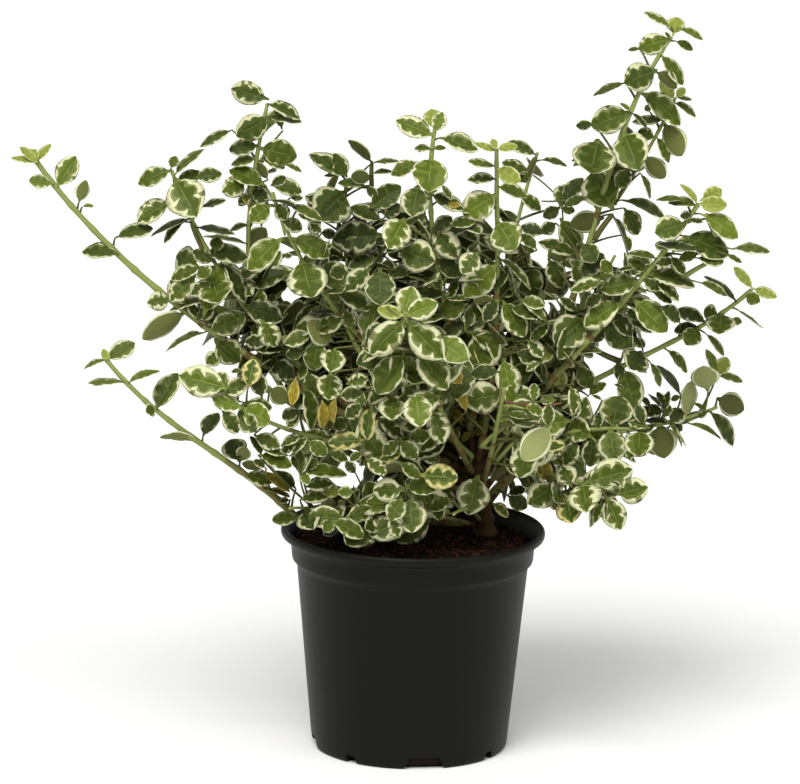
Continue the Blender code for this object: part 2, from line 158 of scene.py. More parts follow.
def plain(name, code, roughness=0.45, specular=0.5):
    """A plain base colour with a set roughness and specular level, for relief() to give node gloss and relief."""
    mat = bpy.data.materials.new(name)
    mat.use_nodes = True
    shader = mat.node_tree.nodes["Principled BSDF"]
    shader.inputs["Base Color"].default_value = (*linear(code), 1)
    shader.inputs["Roughness"].default_value = roughness
    shader.inputs["Specular IOR Level"].default_value = specular
    return mat


def relief(mat, scale, strength, distance, rough=None, stretch=(1, 1, 1), detail=4.0):
    """Noise relief and uneven gloss, at a scale in waves for each metre."""
    nodes, links = mat.node_tree.nodes, mat.node_tree.links
    shader = nodes["Principled BSDF"]
    where = nodes.new("ShaderNodeTexCoord")
    mapping = nodes.new("ShaderNodeMapping")
    mapping.inputs["Scale"].default_value = stretch
    grain = nodes.new("ShaderNodeTexNoise")
    grain.inputs["Scale"].default_value = scale
    grain.inputs["Detail"].default_value = detail
    bump = nodes.new("ShaderNodeBump")
    bump.name = "grain_bump"
    bump.inputs["Strength"].default_value = strength
    bump.inputs["Distance"].default_value = distance
    links.new(where.outputs["Object"], mapping.inputs["Vector"])
    links.new(mapping.outputs["Vector"], grain.inputs["Vector"])
    links.new(grain.outputs["Fac"], bump.inputs["Height"])
    links.new(bump.outputs["Normal"], shader.inputs["Normal"])
    if rough:
        spread = nodes.new("ShaderNodeMapRange")
        spread.inputs["To Min"].default_value = rough[0]
        spread.inputs["To Max"].default_value = rough[1]
        links.new(grain.outputs["Fac"], spread.inputs["Value"])
        links.new(spread.outputs["Result"], shader.inputs["Roughness"])
    return mat


def veined(mat, strength=0.35):
    """Side veins pressed into a leaf, which run out and forward from its midrib."""
    nodes, links = mat.node_tree.nodes, mat.node_tree.links

    def step(operation, first, second=None):
        node = nodes.new("ShaderNodeMath")
        node.operation = operation
        for socket, value in zip(node.inputs, (first, second)):
            if isinstance(value, float):
                socket.default_value = value
            elif value is not None:
                links.new(value, socket)
        return node.outputs[0]

    where = nodes.new("ShaderNodeUVMap")
    split = nodes.new("ShaderNodeSeparateXYZ")
    links.new(where.outputs["UV"], split.inputs["Vector"])
    out = step("ABSOLUTE", step("SUBTRACT", split.outputs["Y"], 0.5))
    line = step("SUBTRACT", step("MULTIPLY", split.outputs["X"], 8.5), step("MULTIPLY", out, 3.0))
    height = step("POWER", step("PINGPONG", line, 0.5), 0.6)
    bump = nodes.new("ShaderNodeBump")
    bump.inputs["Strength"].default_value = strength
    bump.inputs["Distance"].default_value = 0.0007
    links.new(height, bump.inputs["Height"])
    links.new(bump.outputs["Normal"], nodes["grain_bump"].inputs["Normal"])
    return mat


# Each kind of leaf: blade, its lighter green, its grey-green patches, cream, midrib, underside.
LEAF_KINDS = {
    # The deep kind is a darker copy of the leaf colours. It is painted shade for leaves that stand in the shadow
    # inside the crown, and it is also dealt out at random as a dark tone.
    "deep": ("303a12", "3e4a1c", "5c603a", "b8ba92", "4a562a", "494d26"),
    "dark": ("394613", "4a5620", "6a7042", "c3c49a", "5a6631", "5a6030"),
    "mid": ("455216", "566426", "767c4e", "cccda2", "69763a", "6a703c"),
    "fresh": ("51601b", "63712c", "838857", "d2d3aa", "798740", "7a8048"),
    "light": ("5d6d1f", "6b7b33", "8f9460", "d6d6af", "85934c", "8a905a"),
    "young": ("7f8a38", "91994a", "a8ac66", "c8ca90", "a4ac60", "9aa064"),
    "yellow": ("43551f", "5f6a2e", "a29a54", "cbc486", "8a8c46", "8e884c"),
    "gold": ("8c7c26", "9c8c34", "aa9a46", "bfb268", "a8985a", "8e8046"),
}
LEAF_ROUGH = (0.42, 0.44, 0.46, 0.50, 0.44, 0.62)


def leaf_palette(kind):
    names = ("blade", "lighter", "patch", "cream", "midrib", "under")
    made = []
    for name, code, rough in zip(names, LEAF_KINDS[kind], LEAF_ROUGH):
        mat = plain(f"leaf_{kind}_{name}", code, rough, 0.14)
        relief(mat, 620.0, 0.4, 0.0005, (rough - 0.10, rough + 0.12))
        made.append(veined(mat))
    return made


# ---------------------------------------------------------------- mesh from arrays


def mesh_object(name, points, faces, zones, materials, smooth=True, places=None):
    """Joined triangles as one mesh object.

    zones holds each triangle's material, and places each point's spot on its leaf.
    """
    mesh = bpy.data.meshes.new(name)
    points = np.ascontiguousarray(points, np.float32)
    faces = np.ascontiguousarray(faces, np.int32)
    count = len(faces)
    mesh.vertices.add(len(points))
    mesh.vertices.foreach_set("co", points.ravel())
    mesh.loops.add(count * 3)
    mesh.loops.foreach_set("vertex_index", faces.ravel())
    mesh.polygons.add(count)
    mesh.polygons.foreach_set("loop_start", np.arange(0, count * 3, 3, dtype=np.int32))
    mesh.polygons.foreach_set("material_index", np.ascontiguousarray(zones, np.int32))
    mesh.polygons.foreach_set("use_smooth", np.full(count, smooth))
    if places is not None:
        layer = mesh.uv_layers.new(name="leaf")
        corners = np.ascontiguousarray(places, np.float32)[faces.ravel()]
        layer.data.foreach_set("uv", corners.ravel())
    for mat in materials:
        mesh.materials.append(mat)
    mesh.update(calc_edges=True)
    mesh.validate()
    obj = bpy.data.objects.new(name, mesh)
    bpy.context.scene.collection.objects.link(obj)
    return obj


def quads(rows, columns, wrap=False):
    """Triangles of a grid of points numbered row by row, and each one's row and column."""
    found, at = [], []
    for i in range(rows - 1):
        for j in range(columns if wrap else columns - 1):
            k = (j + 1) % columns
            a, b = i * columns + j, i * columns + k
            c, d = a + columns, b + columns
            found += [(a, b, d), (a, d, c)]
            at += [(i, j), (i, j)]
    return found, at


# ---------------------------------------------------------------- leaf shapes

BLADE, LIGHTER, PATCH, CREAM, MIDRIB, UNDER = range(6)
STALK = 0.11  # the part of a leaf's length that is its stalk
LEAF_ROWS = 15
# Each form of leaf: how many shapes, half width, where the cream begins (0 midrib, 1 edge),
# chance of a creamy side, how far grey-green reaches in from the cream, and the creamy tip.
FORMS = {
    "plain": (28, (0.300, 0.345), (0.73, 0.89), 0.30, (0.06, 0.52), (0.00, 0.50)),
    "creamy": (20, (0.290, 0.340), (0.56, 0.76), 0.50, (0.25, 0.65), (0.20, 0.65)),
    "slim": (8, (0.235, 0.285), (0.80, 0.92), 0.20, (0.02, 0.20), (0.00, 0.20)),
}


def leaf_shape(rng, form):
    """One leaf of length 1 along +X, its upper side to +Z: points, triangles, zones, places."""
    _, widths, creams, lopsided, greys, tips = FORMS[form]
    wide = rng.uniform(*widths)
    fullest = rng.uniform(0.86, 1.06)
    blunt = rng.uniform(0.48, 0.56), rng.uniform(0.54, 0.68)

    def half_width(x):
        if x <= STALK:
            return 0.022 + 0.006 * (1 - x / STALK)
        s = min((x - STALK) / (1 - STALK), 1.0)
        power = blunt[0] + (blunt[1] - blunt[0]) * s
        return max(0.018 * (1 - s), wide * math.sin(math.pi * s**fullest) ** power)

    fold = rng.uniform(0.06, 0.34)
    droop = rng.uniform(-0.06, 0.40)
    twist = rng.uniform(-0.22, 0.22)
    puff = rng.uniform(-0.004, 0.020)
    waves = rng.uniform(0.003, 0.014)
    phase = rng.uniform(0, 6.28)
    quilt = rng.uniform(0.0015, 0.0060)

    rows = [0.0, STALK * 0.9, STALK + 0.02]
    for k in range(1, LEAF_ROWS - 2):
        s = k / (LEAF_ROWS - 3)
        rows.append(STALK + (1 - STALK) * (0.45 * s + 0.55 * (0.5 - 0.5 * math.cos(math.pi * s))))

    begins, grey, creamy_tip = rng.uniform(*creams), rng.uniform(*greys), rng.uniform(*tips)
    creamy_side = rng.choice((-1, 1)) if rng.random() < lopsided else 0
    edge, patch = {}, {}
    for side in (-1, 1):
        for i, x in enumerate(rows):
            # Cream and grey-green run in along the side veins, so they reach in by turns.
            vein = 1.0 if (i + side) % 3 == 0 else -0.4
            spot = begins - vein * rng.uniform(0.01, 0.19) + rng.uniform(-0.05, 0.05)
            if side == creamy_side:
                spot -= 0.04 + 0.16 * x
            spot -= creamy_tip * max(0.0, (x - 0.74) / 0.26) ** 1.3
            edge[(side, i)] = spot = min(0.95, max(0.30, spot))
            reach = grey * rng.uniform(0.3, 1.0) * (1.0 if vein > 0 else 0.45)
            patch[(side, i)] = spot * (1.0 - min(0.75, reach + 0.02))

    def place(x, v):
        x = min(x + 0.26 * abs(v) * x * (1 - x), 1.0)
        half = half_width(x)
        tooth = 1.0
        if abs(v) > 0.99 and x > STALK * 1.2:
            tooth = 1.0 + 0.034 * math.sin(x * 62.0 + phase)
        y = v * half * tooth
        z = fold * abs(y) * (1.0 - 0.6 * x) - droop * x * x * 0.55
        z += waves * math.sin(x * 14.0 + phase + v) * v * v
        z += quilt * math.sin(math.tau * (5.0 * x - 1.3 * abs(v)) + phase) * min(2.0 * abs(v), 1.0)
        z += puff * math.sin(math.pi * abs(v)) * math.sin(math.pi * x) + twist * y * x
        return [x - 0.10 * droop * x * x, y, z]

    columns = 10
    points, places, zones = [], [], []
    for i, x in enumerate(rows):
        low, high = edge[(-1, i)], edge[(1, i)]
        inner = rng.uniform(0.34, 0.62)
        rib = 0.034 - 0.018 * x
        spots = (-1.0, -low, -patch[(-1, i)], -patch[(-1, i)] * inner, -rib)
        spots += (rib, patch[(1, i)] * inner, patch[(1, i)], high, 1.0)
        for v in spots:
            p = place(x, v)
            if abs(v) < 0.04:
                p[2] -= 0.005
            points.append(p)
            places.append((x, 0.5 + 0.5 * v))
    faces, at = quads(len(rows), columns)
    soft = {side: rng.random() < 0.30 for side in (-1, 1)}
    # Green breaks through the cream and cream runs in along the veins, cell by cell.
    green_out, cream_in = (0.22, 0.22) if form == "creamy" else (0.06, 0.07)
    cells = {}
    for i in range(len(rows) - 1):
        for j in range(columns - 1):
            side = -1 if j < 4 else 1
            vein = (i + side) % 3 == 0
            if i < 2:
                zone = MIDRIB
            elif j in (0, 8):
                zone = PATCH if rng.random() < green_out and 3 < i < len(rows) - 3 else CREAM
            elif j == 4:
                zone = MIDRIB if rows[i] < 0.74 else BLADE
            elif j in (1, 7):
                zone = CREAM if rng.random() < cream_in * (2.0 if vein else 0.6) else PATCH
            elif j in (2, 6):
                zone = LIGHTER if soft[side] or vein or rng.random() < 0.12 else BLADE
            else:
                zone = LIGHTER if vein and rng.random() < 0.35 else BLADE
            cells[(i, j)] = zone
    zones += [cells[cell] for cell in at]
    # Underside: it shares the rim, and bulges below by the leaf's thickness.
    under = {}
    for i, x in enumerate(rows):
        for j, v in enumerate((-0.80, 0.0, 0.80)):
            p = place(x, v)
            p[2] -= 0.010 if j != 1 else 0.024
            under[(i, j + 1)] = len(points)
            points.append(p)
            places.append((x, 0.5 + 0.5 * v))
        under[(i, 0)] = i * columns
        under[(i, 4)] = i * columns + columns - 1
    for i in range(len(rows) - 1):
        for j in range(4):
            a, b = under[(i, j)], under[(i, j + 1)]
            c, d = under[(i + 1, j)], under[(i + 1, j + 1)]
            faces += [(a, d, b), (a, c, d)]
            zones += [CREAM if j in (0, 3) and i > 1 else UNDER] * 2
    # End caps close the stalk and the tip.
    for i, flip in ((0, False), (len(rows) - 1, True)):
        ring = [i * columns + j for j in range(columns)] + [under[(i, j)] for j in (3, 2, 1)]
        for k in range(1, len(ring) - 1):
            tri = (ring[0], ring[k], ring[k + 1])
            faces.append(tri if flip else tri[::-1])
            zones.append(MIDRIB if i == 0 else CREAM)
    # The rows run up the leaf with +Y to the left, so the triangles above face down: turn all.
    faces = np.array(faces)[:, ::-1].copy()
    tip = Vector(place(1.0, 0.0))
    return np.array(points), faces, np.array(zones), np.array(places), wide, tip


# ---------------------------------------------------------------- shoots, as in the solids

GAP = 0.0004
SOIL_TOP = 0.1500
STEM_FOOT = (0.052, 0.020)
STEM_TOP = (0.044, 0.012, 0.214)
STEM_RADII = (0.0085, 0.0060, 0.0052, 0.0050)
# name, height on the stem, tip, sag, sway, hook, base radius, tip radius
SHOOTS = (
    ("far_left",             0.56, (-0.271, -0.020, 0.427), -0.021, -0.003,  0.004, 0.0031, 0.0018),
    ("left_upper",           0.44, (-0.109,  0.020, 0.463), -0.087,  0.006, -0.007, 0.0027, 0.0013),
    ("left_mid",             0.74, (-0.175, -0.015, 0.420), -0.034,  0.003,  0.001, 0.0026, 0.0013),
    ("left_inner",           0.92, (-0.103, -0.035, 0.409), -0.012,  0.000,  0.004, 0.0024, 0.0012),
    ("mid_left",             0.98, (-0.052,  0.050, 0.405), -0.035,  0.000,  0.001, 0.0024, 0.0012),
    ("centre",               1.00, ( 0.010, -0.030, 0.456), -0.008,  0.004,  0.006, 0.0024, 0.0014),
    ("right_centre",         0.90, ( 0.053, -0.050, 0.445),  0.004, -0.008, -0.010, 0.0024, 0.0015),
    ("back_right_top",       1.00, ( 0.085,  0.075, 0.422),  0.012,  0.000,  0.000, 0.0022, 0.0011),
    ("tall_right",           0.97, ( 0.177,  0.030, 0.515), -0.009,  0.001, -0.010, 0.0030, 0.0015),
    ("right",                0.80, ( 0.196, -0.020, 0.403), -0.001,  0.000,  0.002, 0.0028, 0.0016),
    ("far_right",            0.66, ( 0.239,  0.020, 0.335),  0.011,  0.000,  0.007, 0.0026, 0.0015),
    ("low_right",            0.36, ( 0.219,  0.050, 0.242),  0.015,  0.000,  0.006, 0.0024, 0.0012),
    ("low_right_front",      0.42, ( 0.130, -0.078, 0.211),  0.016,  0.000,  0.003, 0.0022, 0.0013),
    ("mid_right_front",      0.54, ( 0.160, -0.030, 0.242),  0.018,  0.000,  0.001, 0.0022, 0.0012),
    ("front_centre",         0.68, (-0.009, -0.125, 0.341), -0.005,  0.000,  0.000, 0.0024, 0.0014),
    ("front_right",          0.52, ( 0.061, -0.110, 0.288), -0.004,  0.000,  0.000, 0.0022, 0.0012),
    ("front_left",           0.32, (-0.135, -0.074, 0.272),  0.004,  0.000,  0.007, 0.0024, 0.0012),
    ("back_left",            0.78, (-0.112,  0.110, 0.318), -0.010,  0.000,  0.000, 0.0023, 0.0011),
    ("back_centre",          0.88, (-0.012,  0.150, 0.372), -0.008,  0.000,  0.000, 0.0023, 0.0011),
    ("back_right",           0.76, ( 0.145,  0.125, 0.338), -0.006,  0.000,  0.000, 0.0023, 0.0011),
    ("back_low",             0.50, ( 0.068,  0.172, 0.212),  0.008,  0.000,  0.000, 0.0021, 0.0011),
)
OUTLYING = (
    ("runner",      ( 0.0440,  0.0180, 0.1585), (-0.0770, -0.0110, 0.1660),  0.002,  0.000,  0.000, 0.0026, 0.0024),
    ("low_left",    (-0.0815, -0.0130, 0.1668), (-0.2180, -0.0500, 0.2900), -0.002, -0.009,  0.003, 0.0028, 0.0015),
    ("second_tall", ( 0.1390,  0.0330, 0.3930), ( 0.1820,  0.0500, 0.4680), -0.002,  0.000,  0.000, 0.0018, 0.0010),
)
# Thin low shoots inside the front skirt of leaves, which start on the stem or on the runner.
SKIRT = (
    ("skirt_right", ( 0.0480,  0.0080, 0.1640), ( 0.0280, -0.0720, 0.1880),  0.006, 0.000, 0.000, 0.0017, 0.0010),
    ("skirt_mid",   ( 0.0440,  0.0100, 0.1600), (-0.0080, -0.0760, 0.1850),  0.004, 0.000, 0.000, 0.0017, 0.0010),
    ("skirt_left",  ( 0.0050,  0.0080, 0.1640), (-0.0520, -0.0660, 0.1800),  0.006, 0.000, 0.000, 0.0017, 0.0010),
    ("skirt_far",   (-0.0500, -0.0040, 0.1640), (-0.0880, -0.0500, 0.1850),  0.004, 0.000, 0.000, 0.0016, 0.0010),
)
# Leafy stretches: shoot, from, to, half height, half width, whether the photograph shows its
# leaves one by one against the sky, and how many side twigs grow on each 20 mm.
LEAFY = (
    ("far_left",        0.865, 1.04, 0.020, 0.016, True,  0.0),
    ("far_left",        0.73,  0.81, 0.020, 0.013, True,  0.0),
    ("far_left",        0.42,  0.64, 0.024, 0.026, False, 2.0),
    ("left_upper",      0.72,  1.05, 0.026, 0.026, True,  1.5),
    ("left_upper",      0.40,  0.72, 0.033, 0.035, False, 3.0),
    ("left_mid",        0.85,  1.06, 0.028, 0.024, True,  1.5),
    ("left_mid",        0.44,  0.74, 0.029, 0.031, False, 3.0),
    ("left_inner",      0.40,  1.06, 0.028, 0.029, False, 2.6),
    ("mid_left",        0.36,  1.06, 0.031, 0.033, False, 3.0),
    ("centre",          0.34,  0.84, 0.029, 0.031, False, 3.0),
    ("centre",          0.84,  1.05, 0.027, 0.029, True,  1.5),
    ("right_centre",    0.36,  0.80, 0.028, 0.028, False, 2.4),
    ("right_centre",    0.80,  1.04, 0.026, 0.026, True,  1.5),
    ("back_right_top",  0.34,  1.02, 0.031, 0.030, False, 3.0),
    ("tall_right",      0.80,  1.04, 0.023, 0.020, True,  1.2),
    ("tall_right",      0.56,  0.80, 0.028, 0.026, True,  2.0),
    ("tall_right",      0.32,  0.56, 0.030, 0.028, False, 3.0),
    ("second_tall",     0.05,  1.12, 0.019, 0.017, True,  1.0),
    ("right",           0.42,  0.74, 0.032, 0.031, False, 3.0),
    ("right",           0.74,  1.06, 0.032, 0.031, True,  2.0),
    ("far_right",       0.46,  0.72, 0.025, 0.028, False, 2.6),
    ("far_right",       0.72,  1.06, 0.023, 0.026, True,  1.8),
    ("low_right",       0.44,  0.74, 0.028, 0.028, False, 2.6),
    ("low_right",       0.74,  1.10, 0.027, 0.027, True,  1.8),
    ("low_right_front", 0.42,  0.84, 0.030, 0.029, False, 2.8),
    ("low_right_front", 0.84,  1.16, 0.029, 0.027, True,  1.6),
    ("mid_right_front", 0.44,  1.06, 0.028, 0.029, False, 2.8),
    ("front_centre",    0.42,  1.08, 0.033, 0.035, False, 3.0),
    ("front_right",     0.36,  1.10, 0.032, 0.034, False, 3.0),
    ("front_left",      0.36,  1.08, 0.028, 0.032, False, 2.8),
    ("low_left",        0.84,  1.08, 0.018, 0.015, True,  0.0),
    ("low_left",        0.20,  0.66, 0.018, 0.018, True,  0.6),
    ("back_left",       0.36,  1.10, 0.042, 0.040, False, 4.0),
    ("back_centre",     0.36,  1.08, 0.043, 0.043, False, 4.0),
    ("back_right",      0.36,  1.10, 0.042, 0.040, False, 4.0),
    ("back_low",        0.40,  1.06, 0.034, 0.043, False, 3.4),
    ("far_left",        0.14,  0.42, 0.026, 0.030, False, 2.2),
    ("left_mid",        0.16,  0.44, 0.026, 0.030, False, 2.2),
    ("left_upper",      0.16,  0.40, 0.028, 0.032, False, 2.4),
    ("left_inner",      0.16,  0.40, 0.026, 0.030, False, 2.2),
    ("mid_left",        0.12,  0.36, 0.028, 0.032, False, 2.4),
    ("centre",          0.14,  0.34, 0.028, 0.032, False, 2.4),
    ("right_centre",    0.14,  0.36, 0.026, 0.030, False, 2.2),
    ("front_left",      0.14,  0.36, 0.026, 0.030, False, 2.4),
    ("front_centre",    0.24,  0.42, 0.026, 0.030, False, 2.2),
    ("mid_right_front", 0.20,  0.44, 0.026, 0.028, False, 2.2),
    ("right",           0.18,  0.42, 0.028, 0.030, False, 2.4),
    ("tall_right",      0.14,  0.32, 0.028, 0.030, False, 2.4),
    ("back_low",        0.12,  0.40, 0.032, 0.038, False, 3.0),
    ("back_centre",     0.14,  0.36, 0.034, 0.036, False, 3.0),
    ("back_left",       0.14,  0.36, 0.032, 0.036, False, 3.0),
    ("back_right",      0.14,  0.36, 0.032, 0.036, False, 3.0),
    ("far_right",       0.20,  0.46, 0.026, 0.028, False, 2.2),
    ("low_right",       0.20,  0.44, 0.024, 0.026, False, 2.0),
    ("runner",          0.20,  1.00, 0.026, 0.034, False, 2.2),
    ("skirt_right",     0.30,  1.10, 0.022, 0.026, False, 1.8),
    ("skirt_mid",       0.30,  1.10, 0.022, 0.026, False, 1.8),
    ("skirt_left",      0.30,  1.10, 0.022, 0.026, False, 1.8),
    ("skirt_far",       0.30,  1.10, 0.022, 0.024, False, 1.8),
)


# Thin stems that the photograph shows by themselves: shoot, start, end, width in pixels, tint.
# Tint 1 is the darker twig olive, which carries painted shade.
SEEN_TWIGS = {
    "left_mid": ((203, 250, 191, 222, 5, 1),),
    "left_upper": ((264, 186, 277, 206, 4, 0), (277, 206, 285, 236, 4, 0)),
    "mid_left": ((372, 187, 372, 161, 5, 1), (338, 229, 345, 200, 4, 1)),
    "back_right_top": ((528, 173, 536, 157, 6, 1), (533, 175, 556, 195, 2, 1), (557, 201, 541, 201, 2, 1)),
    "right": ((684, 277, 708, 263, 5, 0), (619, 361, 590, 347, 6, 1)),
    "tall_right": ((594, 240, 613, 214, 6, 1),),
    "front_left": ((472, 456, 434, 416, 5, 0),),
    "left_inner": ((363, 357, 346, 325, 5, 0), (346, 325, 324, 293, 4, 0)),
    "front_right": ((482, 446, 512, 421, 5, 0), (497, 461, 538, 421, 4, 0), (496, 431, 542, 408, 2, 2), (542, 408, 562, 403, 2, 2)),
    "front_centre": ((495, 430, 500, 403, 5, 0),),
}


def stem_axis(h):
    foot = Vector((*STEM_FOOT, SOIL_TOP + GAP))
    top = Vector(STEM_TOP)
    lean = h * h * (3.0 - 2.0 * h)
    return Vector(
        (
            foot.x + (top.x - foot.x) * lean,
            foot.y + (top.y - foot.y) * lean,
            foot.z + (top.z - foot.z) * h,
        )
    )


def stem_radius(h):
    spot = h * (len(STEM_RADII) - 1)
    i = min(int(spot), len(STEM_RADII) - 2)
    return STEM_RADII[i] + (STEM_RADII[i + 1] - STEM_RADII[i]) * (spot - i)


class Shoot:
    """The line that a limb and its leaves follow, bowed off the straight line to its tip."""

    def __init__(self, start, tip, sag, sway, hook, base_r, tip_r):
        self.start, self.chord = start, tip - start
        self.length = self.chord.length
        self.along = self.chord.normalized()
        self.up = (Vector((0, 0, 1)) - self.along * self.along.z).normalized()
        self.side = self.along.cross(self.up)
        self.sag, self.sway, self.hook = sag, sway, hook
        self.base_r, self.tip_r = base_r, tip_r

    def at(self, t):
        bow = 4.0 * t * (1.0 - t)
        swing = 2.6 * bow * (1.0 - 2.0 * t)
        return (
            self.start
            + self.chord * t
            + self.up * (self.sag * bow + self.hook * swing)
            + self.side * (self.sway * bow)
        )

    def radius(self, t):
        return self.base_r + (self.tip_r - self.base_r) * min(max(t, 0.0), 1.0)

    def heading(self, t):
        return (self.at(t + 0.01) - self.at(t - 0.01)).normalized()


def all_shoots():
    """Every shoot by name. Each starts inside the stem, so that it grows out of it."""
    shoots = {}
    for name, height, tip, sag, sway, hook, base_r, tip_r in SHOOTS:
        tip = Vector(tip)
        away = tip - stem_axis(height)
        away = Vector((away.x, away.y, 0.0)).normalized()
        start = stem_axis(height) + away * (stem_radius(height) * 0.6)
        shoots[name] = Shoot(start, tip, sag, sway, hook, base_r, tip_r)
    for name, start, tip, sag, sway, hook, base_r, tip_r in OUTLYING + SKIRT:
        shoots[name] = Shoot(Vector(start), Vector(tip), sag, sway, hook, base_r, tip_r)
    return shoots
